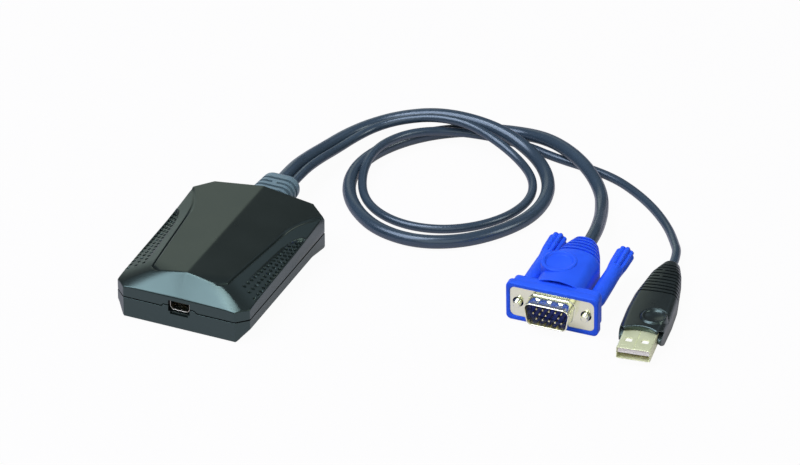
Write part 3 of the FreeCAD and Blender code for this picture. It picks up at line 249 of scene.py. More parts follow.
class Finishes:
    """The finishes of the part, for the slots of the record."""

    # Moulded in a spark-eroded tool: near black, with a soft, greenish sheen on each plane.
    CASE = Finish("Black plastic, fine spark texture", "case_plastic", "#131617", "#101314",
                  0.3, 0.03, grain=0.3, bump=0.003, patch=14.0, specular=1.0, tint="#d6fff6")
    # Glass cloth under green resist: a dull, even green.
    BOARD = Finish("Circuit board laminate", "board_laminate", "#1d5a3a", "#174a30", 0.45)
    # Filled epoxy from the mould: matt charcoal.
    CHIP = Finish("Chip moulding compound", "chip_epoxy", "#1c1d1f", "#232427", 0.6)
    # Natural nylon: creamy, with a low sheen.
    HEADER = Finish("Header nylon", "header_nylon", "#d8d2c2", "#cdc6b4", 0.5)
    # Bright zinc over drawn wire: grey metal with blurred lights.
    SCREW = Finish("Zinc plated screw steel", "screw_steel", "#a9abac", "#8f9293",
                   0.34, 0.08, metal=1.0, patch=2.0)
    # Drawn sheet under bright nickel: a clear mirror with a warm cast.
    STEEL = Finish("Nickel plated sheet steel", "plated_steel", "#fbfde2", "#f5f7d9",
                   0.22, 0.05, metal=1.0, grain=0.3, bump=0.002, patch=5.0)
    # Folded sheet under matt tin: pale and even, almost without a mirror.
    TIN = Finish("Matt tinned sheet steel", "plated_steel", "#edf2c8", "#e3e9bd",
                 0.34, 0.06, metal=0.4, grain=0.3, bump=0.003, patch=5.0)
    # Folded thin sheet, tinned: a bright rim round a dark mouth.
    SOCKET_STEEL = Finish("Tinned socket steel", "plated_steel", "#d6d2c6", "#c8c4b8",
                          0.28, 0.05, metal=1.0, patch=2.0)
    # Glass-filled polyester: matt and dark inside the mouth.
    SOCKET = Finish("Socket plastic", "socket_plastic", "#17191a", "#1e2021", 0.5)
    # Flash gold over nickel: warm, soft lights.
    GOLD = Finish("Gold plated contact", "contact_gold", "#d8ba7c", "#c9a866",
                  0.28, 0.06, metal=1.0, patch=2.0)
    # Turned pins under nickel: small sharp lights on dark rods.
    PIN = Finish("Nickel plated pin", "contact_gold", "#d8d0b6", "#cdc4a8",
                 0.22, 0.04, metal=1.0, patch=2.0)
    # Soft vinyl from the mould: blue grey, with broad dull lights.
    RELIEF = Finish("Grey boot vinyl", "relief_plastic", "#6d858e", "#647b84",
                    0.36, 0.05, grain=0.5, bump=0.008, patch=8.0)
    # Soft vinyl in a strong blue, whose lights stay blue.
    BLUE = Finish("Blue moulded vinyl", "blue_plastic", "#2c61f4", "#285aea",
                  0.42, 0.06, grain=0.35, bump=0.008, patch=7.0, specular=0.4, tint="#8fb0ff")
    # Hard polyester round the pins: deep blue and matt.
    INSULATOR = Finish("Blue contact carrier", "insulator_plastic", "#12309c", "#0e2786", 0.5)
    # White polyester: the bright bar inside the metal shell.
    TONGUE = Finish("White contact tongue", "tongue_plastic", "#fffdf2", "#fbf8ec", 0.45)
    # Soft vinyl from a polished mould: near black with long, clear lights.
    HOOD = Finish("Charcoal moulded vinyl", "hood_plastic", "#1b2022", "#181c1e",
                  0.3, 0.04, grain=0.3, bump=0.006, patch=8.0, specular=0.9, tint="#dcfff8")
    # Extruded vinyl: smooth slate with one long line of light.
    CORD = Finish("Slate cord jacket", "cord_jacket", "#354655", "#303f4d",
                  0.27, 0.04, grain=0.5, bump=0.002, patch=16.0, specular=0.85, tint="#e2f3ff")


def hang(piece: bpy.types.Object, finish: Finish, nodes: tuple[str, ...], body: Body) -> None:
    """Link a piece, dress it, hide the CAD nodes that it stands for and hang it on its body.

    Args:
        piece: Mesh or curve object.
        finish: Its material.
        nodes: CAD nodes that it stands for.
        body: Body that it rides on.
    """
    bpy.context.collection.objects.link(piece)
    piece.data.materials.append(finish.make())
    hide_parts(*nodes)
    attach(piece, body.value)
    log.info("%s: %s, on %s", piece.name, finish.name, body.value)


@dataclass(frozen=True)
class Pose:
    """Place of a plug: a turn about Z after a tilt about X, then a shift."""

    base: Point = (0.0, 0.0, 0.0)  # place of the plug's own zero point in the row frame
    yaw: float = 0.0  # turn about Z in degrees
    pitch: float = 0.0  # tilt about X in degrees

    def apply(self, points: Array) -> Array:
        """Move points from the plug's own axes into the row frame.

        Args:
            points: Array whose last axis is x, y, z.

        Returns:
            Array of the same shape, in the row frame.
        """
        yaw, pitch = math.radians(self.yaw), math.radians(self.pitch)
        cos_yaw, sin_yaw = math.cos(yaw), math.sin(yaw)
        cos_pitch, sin_pitch = math.cos(pitch), math.sin(pitch)
        turn = np.array([[cos_yaw, -sin_yaw, 0.0], [sin_yaw, cos_yaw, 0.0], [0.0, 0.0, 1.0]])
        tilt = np.array([[1.0, 0.0, 0.0], [0.0, cos_pitch, -sin_pitch], [0.0, sin_pitch, cos_pitch]])
        return points @ (turn @ tilt).T + np.array(self.base)


@dataclass
class Ring:
    """Closed section line in x and z: p = centre + (radius - inset) * normal."""

    centres: Array  # arc centres, one for each sample
    normals: Array  # outward unit normals, one for each sample
    radius: float

    @classmethod
    def from_corners(cls, corners: list[Spot], radius: float, arc: int = 7, side: Counts = 12) -> "Ring":
        """Round the corners of a polygon that runs counter-clockwise.

        Args:
            corners: Corner points in x and z.
            radius: Corner radius.
            arc: Samples on each corner arc.
            side: Samples inside each straight side, one count for all or one for each.

        Returns:
            The ring of samples.
        """
        p = np.array(corners, dtype=float)
        run = np.roll(p, -1, axis=0) - p
        run /= np.linalg.norm(run, axis=1, keepdims=True)
        after = np.stack([run[:, 1], -run[:, 0]], axis=1)
        before = np.roll(after, 1, axis=0)
        cosine = np.sum(before * after, axis=1, keepdims=True)
        middle = p - radius * (before + after) / (1.0 + cosine)
        start = np.arctan2(before[:, 1], before[:, 0])
        sweep = np.arccos(np.clip(cosine[:, 0], -1.0, 1.0))
        counts = (side,) * len(p) if isinstance(side, int) else side
        centres, normals = [], []
        for i in range(len(p)):
            angle = start[i] + sweep[i] * np.linspace(0.0, 1.0, arc)
            normals.append(np.stack([np.cos(angle), np.sin(angle)], axis=1))
            centres.append(np.repeat(middle[i : i + 1], arc, axis=0))
            t = np.linspace(0.0, 1.0, counts[i] + 2)[1:-1, None]
            centres.append(middle[i] * (1.0 - t) + middle[(i + 1) % len(p)] * t)
            normals.append(np.repeat(after[i : i + 1], counts[i], axis=0))
        return cls(np.concatenate(centres), np.concatenate(normals), radius)

    @classmethod
    def box(cls, w: float, h: float, radius: float, arc: int = 7, side: Counts = 12) -> "Ring":
        """Rounded rectangle of half sizes w and h: right side, top, left side, bottom."""
        return cls.from_corners([(w, -h), (w, h), (-w, h), (-w, -h)], radius, arc, side)

    @classmethod
    def circle(cls, radius: float, samples: int) -> "Ring":
        """Circle about the origin.

        Args:
            radius: Its radius.
            samples: Points round it.

        Returns:
            The ring of samples.
        """
        angle = np.arange(samples) * (2.0 * math.pi / samples)
        normals = np.stack([np.cos(angle), np.sin(angle)], axis=1)
        return cls(np.zeros_like(normals), normals, radius)

    def angles(self) -> Array:
        """Direction of each sample's normal, from x towards z."""
        return np.arctan2(self.normals[:, 1], self.normals[:, 0])

    def points(self, inset: float | Array = 0.0) -> Array:
        """Section points moved inwards by the inset."""
        reach = self.radius - np.asarray(inset, dtype=float)
        return self.centres + reach[..., None] * self.normals

    def loft(self, y: Array, inset: Array, shift: Spot = (0.0, 0.0)) -> Array:
        """Sweep the ring along y.

        Args:
            y: Station of each row.
            inset: Inset of each row, or of each row and sample.
            shift: Offset in x and z.

        Returns:
            Grid of points, rows by samples by 3.
        """
        flat = self.points(inset[:, None] if inset.ndim == 1 else inset)
        return stack(flat[..., 0] + shift[0], y[:, None], flat[..., 1] + shift[1])


@dataclass
class SoftBox:
    """Rounded rectangle whose half sizes and radius may differ from row to row.

    Each sample is (cx (w - r) + r cos a, cz (h - r) + r sin a).
    """

    arc: int  # samples on each corner arc
    side: Counts  # samples inside each straight side, one count for all or one for each

    def __post_init__(self) -> None:
        """Work out the samples from a box of half size two and radius one."""
        unit = Ring.box(2.0, 2.0, 1.0, self.arc, self.side)
        self.corner, self.normal = unit.centres, unit.normals

    def points(self, w: Array, h: Array, r: Array) -> tuple[Array, Array]:
        """X and z of the samples.

        Args:
            w: Half width of each row, as a column.
            h: Half height of each row.
            r: Corner radius of each row or sample.

        Returns:
            X and z, rows by samples.
        """
        x = self.corner[:, 0] * (w - r) + r * self.normal[:, 0]
        z = self.corner[:, 1] * (h - r) + r * self.normal[:, 1]
        return x, z

    def sink(self, x: Array, z: Array, depth: Array) -> tuple[Array, Array]:
        """Move samples inwards along their normals by the depth."""
        return x - depth * self.normal[:, 0], z - depth * self.normal[:, 1]


@dataclass(frozen=True)
class Grooves:
    """Row of equal grooves across a sweep."""

    first: float  # station of the first groove's middle
    pitch: float  # step from one groove to the next
    count: int
    half: float  # half width of a groove's floor
    soft: float  # width of each eased wall

    def stations(self) -> Array:
        """Stations of the four edges of every groove.

        Returns:
            Stations in the order of the grooves.
        """
        edges = np.array([-self.half - self.soft, -self.half, self.half, self.half + self.soft])
        middles = self.first + self.pitch * np.arange(self.count)
        return (middles[:, None] + edges).ravel()

    def share(self, y: Array, number: int) -> Array:
        """Share of the full depth that one groove has at each station."""
        off = np.abs(y - self.first - self.pitch * number)
        return 1.0 - smooth_step(self.half, self.half + self.soft, off)

    def shares(self, y: Array) -> Array:
        """Share of the full depth at each station, from all grooves together."""
        return np.max([self.share(y, i) for i in range(self.count)], axis=0)


class MeshDraft:
    """Collects grids and flat regions, and turns them into one smooth mesh object."""

    WELD = 2.0e-7  # distance in metres within which points become one

    def __init__(self, pose: Pose | None = None) -> None:
        """Start an empty draft.

        Args:
            pose: Place of the plug whose axes the points are given in.
        """
        self.pose = pose or Pose()
        self.blocks: list[Array] = []
        self.quads: list[Array] = [np.zeros((0, 4), int)]
        self.triangles: list[Array] = [np.zeros((0, 3), int)]
        self.count = 0

    def add_points(self, points: Array) -> Array:
        """Store points.

        Args:
            points: Array whose last axis is x, y, z.

        Returns:
            Their numbers in the same layout.
        """
        flat = self.pose.apply(points.reshape(-1, 3))
        numbers = np.arange(len(flat)) + self.count
        self.blocks.append(flat)
        self.count += len(flat)
        return numbers.reshape(points.shape[:-1])

    def grid(self, points: Array, wrap: bool = False, skip: Array | None = None) -> None:
        """Join a grid of points with four-sided faces.

        Args:
            points: Rows by columns by 3.
            wrap: True if the last column joins the first.
            skip: True for faces that are left open.
        """
        index = self.add_points(points)
        around = np.concatenate([index, index[:, :1]], axis=1) if wrap else index
        faces = np.stack([around[:-1, :-1], around[:-1, 1:], around[1:, 1:], around[1:, :-1]], axis=-1)
        keep = np.ones(faces.shape[:2], bool) if skip is None else ~skip
        self.quads.append(faces[keep])

    def cap(self, ring: Array, lift: Point = (0.0, 0.0, 0.0)) -> None:
        """Close a ring of points with a fan to its middle.

        Args:
            ring: Points of the ring, samples by 3.
            lift: Offset of the middle point.
        """
        middle = ring.mean(axis=0, keepdims=True) + np.array(lift)
        index = self.add_points(np.concatenate([ring, middle]))
        edge, tip = index[:-1], index[-1]
        self.triangles.append(np.stack([edge, np.roll(edge, -1), np.full_like(edge, tip)], axis=1))

    def tube(self, points: Array, skip: Array | None = None) -> None:
        """Join a wrapped grid and close both of its ends.

        Args:
            points: Rows by columns by 3.
            skip: True for faces that are left open.
        """
        self.grid(points, wrap=True, skip=skip)
        self.cap(points[0])
        self.cap(points[-1])

    def region(self, loops: list[Array]) -> None:
        """Fill a flat outline with holes.

        Args:
            loops: The outline first, then the holes, each samples by 3.
        """
        index = self.add_points(np.concatenate(loops))
        fill = tessellate_polygon([[Vector(p) for p in loop] for loop in loops])
        self.triangles.append(index[np.array(fill, dtype=int)])

    def slab(self, rings: list[Array], near: float, far: float) -> None:
        """Plate between two stations along y, with holes.

        Args:
            rings: Outline first, then holes, each samples by 2 in x and z.
            near: Station of the front face.
            far: Station of the back face.
        """
        fronts, backs = ([stack(r[:, 0], y, r[:, 1]) for r in rings] for y in (near, far))
        self.region(fronts)
        self.region(backs)
        for front, back in zip(fronts, backs):
            self.grid(np.stack([front, back]), wrap=True)

    def make_mesh(self, name: str) -> bpy.types.Mesh:
        """Put the collected faces into a mesh, weld its seams and turn its faces outwards.

        Args:
            name: Name of the mesh.

        Returns:
            The mesh, in metres.
        """
        points = np.concatenate(self.blocks) * MM
        quads, thirds = np.concatenate(self.quads), np.concatenate(self.triangles)
        corners = np.concatenate([quads.ravel(), thirds.ravel()])
        sizes = np.concatenate([np.full(len(quads), 4), np.full(len(thirds), 3)])
        mesh = bpy.data.meshes.new(name)
        mesh.vertices.add(len(points))
        mesh.vertices.foreach_set("co", points.ravel())
        mesh.loops.add(len(corners))
        mesh.loops.foreach_set("vertex_index", corners)
        mesh.polygons.add(len(sizes))
        mesh.polygons.foreach_set("loop_start", np.cumsum(sizes) - sizes)
        mesh.update(calc_edges=True)
        mesh.validate()
        work = bmesh.new()
        work.from_mesh(mesh)
        bmesh.ops.remove_doubles(work, verts=work.verts, dist=self.WELD)
        bmesh.ops.dissolve_degenerate(work, edges=work.edges, dist=self.WELD)
        bmesh.ops.recalc_face_normals(work, faces=work.faces)
        work.to_mesh(mesh)
        work.free()
        return mesh

    def build(
        self, name: str, finish: Finish, node: str, body: Body = Body.ADAPTER, crease: float = 38.0
    ) -> bpy.types.Object:
        """Make the mesh object, shade it, dress it and hang it on its body.

        Args:
            name: Name of the piece.
            finish: Its material.
            node: CAD node that it stands for.
            body: Body that it rides on.
            crease: Angle in degrees above which an edge stays sharp.

        Returns:
            The finished object.
        """
        mesh = self.make_mesh(name)
        mesh.shade_smooth()
        mesh.set_sharp_from_angle(angle=math.radians(crease))
        piece = bpy.data.objects.new(name, mesh)
        hang(piece, finish, (node,), body)
        return piece


@dataclass(frozen=True)
class Lamp:
    """Rectangular lamp that faces the object."""

    name: str
    direction: Point  # direction from the object to the lamp
    distance: float  # distance in metres
    size: Spot  # width and height in metres
    radiance: float  # brightness of its face, where one is white
    colour: str  # sRGB hex

    def add(self, aim: Vector) -> None:
        """Hang the lamp.

        Args:
            aim: Point that it faces, in metres.
        """
        width, height = self.size
        data = bpy.data.lights.new(self.name, "AREA")
        data.shape = "RECTANGLE"
        data.size, data.size_y = width, height
        data.energy = self.radiance * math.pi * width * height
        data.color = linear_colour(self.colour)[:3]
        way = Vector(self.direction).normalized()
        lamp = bpy.data.objects.new(self.name, data)
        lamp.location = aim + way * self.distance
        lamp.rotation_euler = way.to_track_quat("Z", "Y").to_euler()
        bpy.context.collection.objects.link(lamp)


@dataclass
class Studio:
    """Camera, floor and lights."""

    azimuth: float = 23.762  # turn of the camera from straight ahead, in degrees
    elevation: float = 31.789  # height of the camera above the horizon, in degrees
    aim: Point = (44.191, 53.895, 0.0)  # point that the camera looks at, in millimetres
    distance: float = 2000.0  # camera distance in millimetres
    lens: float = 253.6  # focal length in millimetres
    sensor: float = 36.0  # sensor width in millimetres
    reach: float = 50.0  # distance in metres past which the camera sees nothing
    floor_half: float = 6.0  # half width of the floor in metres
    floor_drop: float = 0.0002  # depth of the floor under the object in metres
    floor_colour: str = "#c4bbc8"  # colour of the floor's matt share, sRGB hex
    floor_glow: float = 0.96  # share of plain white that the camera sees in the floor
    mirror_glow: float = 0.3  # share of plain white that a reflection sees in the floor
    room_colour: str = "#e6ecef"  # colour of the even room light, sRGB hex
    room_light: float = 0.13
    lamps: tuple[Lamp, ...] = (
        Lamp("key", (-0.36, -0.37, 0.86), 1.3, (0.95, 0.90), 5.5, "#e7ecff"),
        Lamp("top", (-0.13, -0.04, 0.99), 1.3, (0.34, 0.34), 9.0, "#f2f4ff"),
        Lamp("fill", (0.35, -0.75, 0.60), 1.6, (1.4, 1.2), 1.0, "#fdfbf4"),
        Lamp("back", (-0.50, 0.73, 0.47), 2.4, (1.0, 0.72), 0.62, "#ffffed"),
        Lamp("rear", (0.16, 0.70, 0.69), 2.4, (0.9, 0.8), 0.45, "#e4ecff"),
        Lamp("left", (-0.63, 0.76, 0.17), 2.4, (1.0, 0.55), 0.8, "#f0fff4"),
        Lamp("right", (0.79, 0.08, 0.57), 1.6, (0.5, 0.75), 4.6, "#fbf8f0"),
    )

    def set_camera(self) -> None:
        """Place the camera at the photograph's angle."""
        az, el = math.radians(self.azimuth), math.radians(self.elevation)
        back = Vector((math.sin(az) * math.cos(el), -math.cos(az) * math.cos(el), math.sin(el)))
        data = bpy.data.cameras.new("view")
        data.lens = self.lens
        data.sensor_width = self.sensor
        data.sensor_fit = "HORIZONTAL"
        data.clip_end = self.reach
        camera = bpy.data.objects.new("view", data)
        camera.location = Vector(self.aim) * MM + back * (self.distance * MM)
        camera.rotation_euler = back.to_track_quat("Z", "Y").to_euler()
        bpy.context.collection.objects.link(camera)
        bpy.context.scene.camera = camera
        bpy.context.scene.view_settings.view_transform = "Standard"

    def floor_material(self) -> bpy.types.Material:
        """Matt floor, lifted towards white for the camera and less so in reflections.

        Returns:
            The material.
        """
        material = bpy.data.materials.new("White studio floor")
        tree = empty_tree(material)
        path = add_node(tree, "LightPath").outputs
        either = {0: path["Is Glossy Ray"], 1: path["Is Transmission Ray"]}
        bounced = {0: add_node(tree, "Math", links=either, operation="MAXIMUM").outputs["Value"]}
        dimmed = add_node(tree, "Math", {1: self.mirror_glow}, bounced, operation="MULTIPLY")
        direct = {0: path["Is Camera Ray"]}
        seen = add_node(tree, "Math", {1: self.floor_glow}, direct, operation="MULTIPLY")
        both = {0: seen.outputs["Value"], 1: dimmed.outputs["Value"]}
        share = add_node(tree, "Math", links=both, operation="MAXIMUM")
        matte = add_node(tree, "BsdfDiffuse", {"Color": linear_colour(self.floor_colour)})
        glow = add_node(tree, "Emission", {"Color": (1.0, 1.0, 1.0, 1.0), "Strength": 1.0})
        layers = {"Fac": share.outputs["Value"], 1: matte.outputs["BSDF"], 2: glow.outputs["Emission"]}
        mix = add_node(tree, "MixShader", links=layers)
        add_node(tree, "OutputMaterial", links={"Surface": mix.outputs["Shader"]})
        return material

    def add_floor(self) -> None:
        """Lay the pale floor, which keeps a faint shadow."""
        half, low = self.floor_half, -self.floor_drop
        mesh = bpy.data.meshes.new("floor")
        ring = [(-half, -half, low), (half, -half, low), (half, half, low), (-half, half, low)]
        mesh.from_pydata(ring, [], [(0, 1, 2, 3)])
        mesh.materials.append(self.floor_material())
        floor = bpy.data.objects.new("floor", mesh)
        bpy.context.collection.objects.link(floor)

    def set_world(self) -> None:
        """Dim, even room light; the camera sees the floor behind the object."""
        world = bpy.data.worlds.new("studio")
        bpy.context.scene.world = world
        tree = empty_tree(world)
        light = {"Color": linear_colour(self.room_colour), "Strength": self.room_light}
        dim = add_node(tree, "Background", light)
        add_node(tree, "OutputWorld", links={"Surface": dim.outputs["Background"]})

    def set_light(self) -> None:
        """Set the floor, the world and the lamps."""
        self.add_floor()
        self.set_world()
        for lamp in self.lamps:
            lamp.add(Vector(self.aim) * MM)


@dataclass
class Cord:
    """One round cord on a smooth line through its route."""

    name: str
    node: str  # CAD node that it stands for
    diameter: float  # diameter in millimetres
    length: float  # length in millimetres
    start: tuple[Point, ...]  # first two control points
    route: tuple[Point, ...]
    end: tuple[Point, ...]  # last two control points

    def build(self) -> bpy.types.Object:
        """Make the curve, dress it and hang it on the adapter.

        Returns:
            The curve object.
        """
        points = np.array(self.start + self.route + self.end) * MM
        curve = bpy.data.curves.new(self.name, "CURVE")
        curve.dimensions = "3D"
        curve.bevel_depth = 0.5 * self.diameter * MM
        curve.bevel_resolution = 7
        curve.resolution_u = 10
        curve.use_fill_caps = True
        spline = curve.splines.new("NURBS")
        spline.points.add(len(points) - 1)
        weighted = np.concatenate([points, np.ones((len(points), 1))], axis=1)
        spline.points.foreach_set("co", weighted.ravel())
        spline.order_u = 3
        spline.use_endpoint_u = True
        spline.use_smooth = True
        piece = bpy.data.objects.new(self.name, curve)
        hang(piece, Finishes.CORD, (self.node,), Body.ADAPTER)
        return piece

    def declare(self, piece: bpy.types.Object, with_pieces: list[bpy.types.Object]) -> None:
        """Work out where the cord leaves the boot, in metres; nothing further is done with it.

        Args:
            piece: The curve object; not used.
            with_pieces: Plug pieces and CAD nodes on the cord; not used.
        """
        leaves = tuple(float(v) * MM for v in self.start[0])


def video_cord() -> Cord:
    """Thick cord, which ends in the video plug.

    Returns:
        The cord with its route, point by point from the boot.
    """
    route = (
        (-1.9, 76, 7.6), (-0.9, 88, 5.2), (1.8, 100.8, 4.2), (7.2, 110.9, 4.5), (16.2, 118.4, 6.1),
        (29, 122.2, 8.4), (43, 123, 8.6), (56.5, 122.1, 6.8), (69.4, 117.3, 3.6), (78.9, 107.3, 2.45),
        (84.5, 94, 2.45), (84.5, 79, 2.45), (78.2, 64.8, 2.45), (67.6, 53, 2.45), (53.4, 46.7, 2.45),
        (38.2, 48.6, 2.45), (26.1, 56.8, 2.45), (17.2, 68.4, 2.45), (13.3, 82.2, 2.45),
        (14.9, 96.4, 2.45), (21.6, 110, 2.45), (31.8, 120.6, 2.45), (44.5, 127.6, 2.45),
        (58, 130.4, 2.8), (71, 126.6, 5.4), (83.3, 119.4, 6.4), (94, 110.8, 5.8), (102.2, 101, 4.2),
        (107.1, 89.2, 4.9), (110.9, 77.3, 7.6),
    )
    start = ((-2.2, 53.4, 9.8), (-2.2, 63.4, 9.8))
    end = ((113.96, 64.75, 10.18), (114.28, 55.77, 9.7))
    return Cord("thick_cord", "video_cord", 4.9, 447.1, start, route, end)


def serial_cord() -> Cord:
    """Thin cord, which ends in the serial plug.

    Returns:
        The cord with its route, point by point from the boot.
    """
    route = (
        (2.7, 75.6, 8.0), (3.8, 88, 5.6), (6.5, 100, 5.2), (11, 108.6, 6.0), (18.4, 114.1, 7.7),
        (30, 117.7, 9.8), (43, 118.5, 9.6), (55.2, 117, 5.8), (66.6, 112, 2.6), (75, 103.4, 1.6),
        (79, 91.3, 1.6), (76.8, 78.3, 1.6), (69.3, 66.8, 1.6), (58.2, 58.9, 1.6), (44.8, 56.6, 1.6),
        (32.2, 60.5, 1.6), (22.7, 69.1, 1.9), (17.9, 80.2, 4.7), (16.8, 93, 6.3), (21, 105.2, 6.3),
        (29, 114.1, 5.7), (39.8, 120.6, 4.0), (51.8, 124.8, 2.2), (64, 124.6, 1.6), (76, 121.2, 1.6),
        (89, 119.4, 1.6), (101.5, 116.4, 1.6), (112.7, 109.9, 1.6), (122.6, 102, 1.6),
        (131.2, 92.6, 1.6), (137.2, 83, 2.6),
    )
    start = ((2.2, 53.4, 9.8), (2.2, 63.4, 9.8))
    end = ((141.96, 73.99, 4.2), (143.26, 65.09, 4.2))
    return Cord("thin_cord", "serial_cord", 3.2, 414.6, start, route, end)


@dataclass
class CaseShape:
    """Outline of the case seen from above, a rectangle with cut corners, and its front opening."""

    half_width: float = 25.3
    half_length: float = 34.9
    cut_x: float = 4.0
    cut_y: float = 3.8
    wall: float = 1.8
    seam: float = 7.8  # height of the seam between the two halves
    gap: float = 0.35
    seam_sink: float = 1.1  # fall of the lower half's ledge, which keeps the seam dark
    seam_edge: float = 0.03  # size of the ledge's broken edge
    lip_half: float = 6.8  # half width of the raised step in the seam over the socket
    lip_rise: float = 0.85  # height of that step
    hole_half: float = 4.1  # half width of the socket opening
    hole_low: float = 6.55
    hole_high: float = 10.95
    relief_half: float = 3.4  # half width of the shallow plug relief under the opening
    relief_low: float = 5.55
    relief_depth: float = 0.7

    def __post_init__(self) -> None:
        """Work out the length of a corner cut and where its line stands."""
        self.slant = math.hypot(self.cut_x, self.cut_y)
        self.span = self.cut_y * (self.half_width - self.cut_x) + self.cut_x * self.half_length

    def end_line(self, x: Array, inset: float) -> Array:
        """Half length of the outline at each x, with the outline moved inwards."""
        slanted = (self.span - inset * self.slant - self.cut_y * np.abs(x)) / self.cut_x
        return np.minimum(self.half_length - inset, slanted)

    def seam_rise(self, x: Array, y: Array) -> Array:
        """Height of the step in the seam: one over the socket, none elsewhere."""
        ramp = np.clip((self.lip_half - np.abs(x)) / self.lip_rise, 0.0, 1.0)
        return self.lip_rise * ramp * (y < -self.half_length + self.wall)

    def loop_normals(self, loop: Array, inset: float, blur: int) -> Array:
        """Outward normals along a closed loop, softened at the corners.

        Args:
            loop: Points of the loop, samples by 2.
            inset: Distance of the loop inside the outline.
            blur: Samples either side that a normal is averaged over.

        Returns:
            Vectors that reach the outline when multiplied by the inset.
        """
        x, y = loop.T
        close = 1e-4
        slanted = np.stack([np.sign(x) * self.cut_y, np.sign(y) * self.cut_x], axis=1) / self.slant
        flat_end = np.abs(y) > self.half_length - inset - close
        flat_side = np.abs(x) > self.half_width - inset - close
        ends = np.stack([np.zeros_like(x), np.sign(y)], axis=1)
        sides = np.stack([np.sign(x), np.zeros_like(y)], axis=1)
        normal = np.where(flat_end[:, None], ends, np.where(flat_side[:, None], sides, slanted))
        steps = range(-blur, blur + 1)
        return sum(np.roll(normal, s, axis=0) for s in steps) / len(steps)

    def lining(self, half: float, high: float, low: float, depth: float) -> Array:
        """Strip that lines a notch in the front wall: down one side, across and up the other.

        Args:
            half: Half width of the notch.
            high: Height of its open ends.
            low: Height of its closed edge.
            depth: How far the strip goes in.

        Returns:
            Grid of 2 by 4 points.
        """
        front = -self.half_length
        deep = np.array([[front], [front + depth]])
        return stack(np.array([-half, -half, half, half]), deep, np.array([high, low, low, high]))


@dataclass
class GripPad:
    """Dimpled pad of a grip: a recess that deepens to the rear, a lip behind it and dimples.

    The dimples stand on lines that draw together towards the rear. Their pitch is longer at the
    front: the count along a line is ahead / pitch - early (1 - exp(-ahead / decay)) - phase.
    """

    wall_x: float  # outer wall of the case
    end: float = 15.2  # station of the rounded rear end at the wall
    end_bow: float = 10.0  # how far the end bows forwards over its width
    end_width: float = 4.6
    depth: float = 0.5
    deepens: Spot = (-24.0, 2.0)  # stations between which the recess gets its depth
    rim: float = 24.95  # outer border of the recess
    margin: float = 0.95  # room between the innermost line and the inner border
    bank: float = 0.5  # width of the sloping border
    nose: Spot = (18.1, -22.8)  # a point of the front border, in x and y
    nose_slant: float = 0.826
    lip: float = 0.22
    lip_back: float = 0.35  # distance of the lip behind the rear end
    lip_half: float = 0.5
    lip_full: float = 0.4  # distance from the innermost line at which the lip is whole
    lines: int = 3
    inner: Spot = (19.2, -22.4)  # a point of the innermost line, in x and y
    inner_slant: float = 0.088
    outer: float = 24.3  # place of the outermost line
    stagger: float = 1.2  # shift of each line against the one before
    pitch: float = 2.15  # pitch of the dimples towards the rear
    count_from: float = -25.0  # station where the count along a line starts
    early: float = 0.71  # dimples that the longer pitch saves in front
    decay: float = 5.0  # length over which the pitch settles
    phase: float = 0.91  # count at the first dimple
    first: float = -23.0  # station before the first dimple
    last_room: float = 1.0  # room between the last dimple and the rear end
    dimple: float = 0.62
    dimple_wall: float = 0.22
    dimple_depth: float = 0.85

    def rear(self, x: Array) -> Array:
        """Station of the rear end, a parabola that bows forwards from the wall."""
        return self.end - self.end_bow * ((self.wall_x - x) / self.end_width) ** 2

    def recess(self, x: Array, y: Array, inner: Array) -> tuple[Array, Array]:
        """Depth of the recess, and height of the lip behind it.

        Args:
            x: Across the case, outwards.
            y: Along the case.
            inner: Place of the innermost line at each point.

        Returns:
            Depths of the recess, and heights of the lip.
        """
        front = y - self.nose[1] + self.nose_slant * (x - self.nose[0])
        to_rear = self.rear(x) - y
        room = np.minimum(np.minimum(x - inner + self.margin, to_rear), np.minimum(self.rim - x, front))
        recess = self.depth * np.clip(room / self.bank, 0.0, 1.0) * smooth_step(*self.deepens, y)
        rise = smooth_step(-self.margin, self.lip_full, x - inner)
        return recess, self.lip * bell(to_rear + self.lip_back, self.lip_half) * rise

    def dimples(self, x: Array, y: Array, inner: Array) -> Array:
        """Depth of the dimples.

        Args:
            x: Across the case, outwards.
            y: Along the case.
            inner: Place of the innermost line at each point.

        Returns:
            Depths.
        """
        gap = (self.outer - inner) / (self.lines - 1)
        line = np.clip(np.round((x - inner) / gap), 0, self.lines - 1)
        middle = inner + line * gap
        ahead = np.maximum(y - self.count_from + self.stagger * line, 0.0)
        settle = np.exp(-ahead / self.decay)
        along = ahead / self.pitch - self.early * (1.0 - settle) - self.phase
        local_pitch = 1.0 / (1.0 / self.pitch - self.early / self.decay * settle)
        off = (along - np.round(along)) * local_pitch
        centre = y - off
        behind_first = centre > self.first - self.stagger * line
        inside = behind_first & (centre < self.rear(middle) - self.last_room)
        room = self.dimple - np.hypot(x - middle, off)
        return self.dimple_depth * smooth_step(0.0, self.dimple_wall, room) * inside

    def cut(self, x: Array, y: Array) -> Array:
        """Depth of the whole pad below the plain grip.

        Args:
            x: Across the case, outwards.
            y: Along the case.

        Returns:
            Depths.
        """
        inner = self.inner[0] + self.inner_slant * (y - self.inner[1])
        recess, lip = self.recess(x, y, inner)
        return recess + self.dimples(x, y, inner) - lip


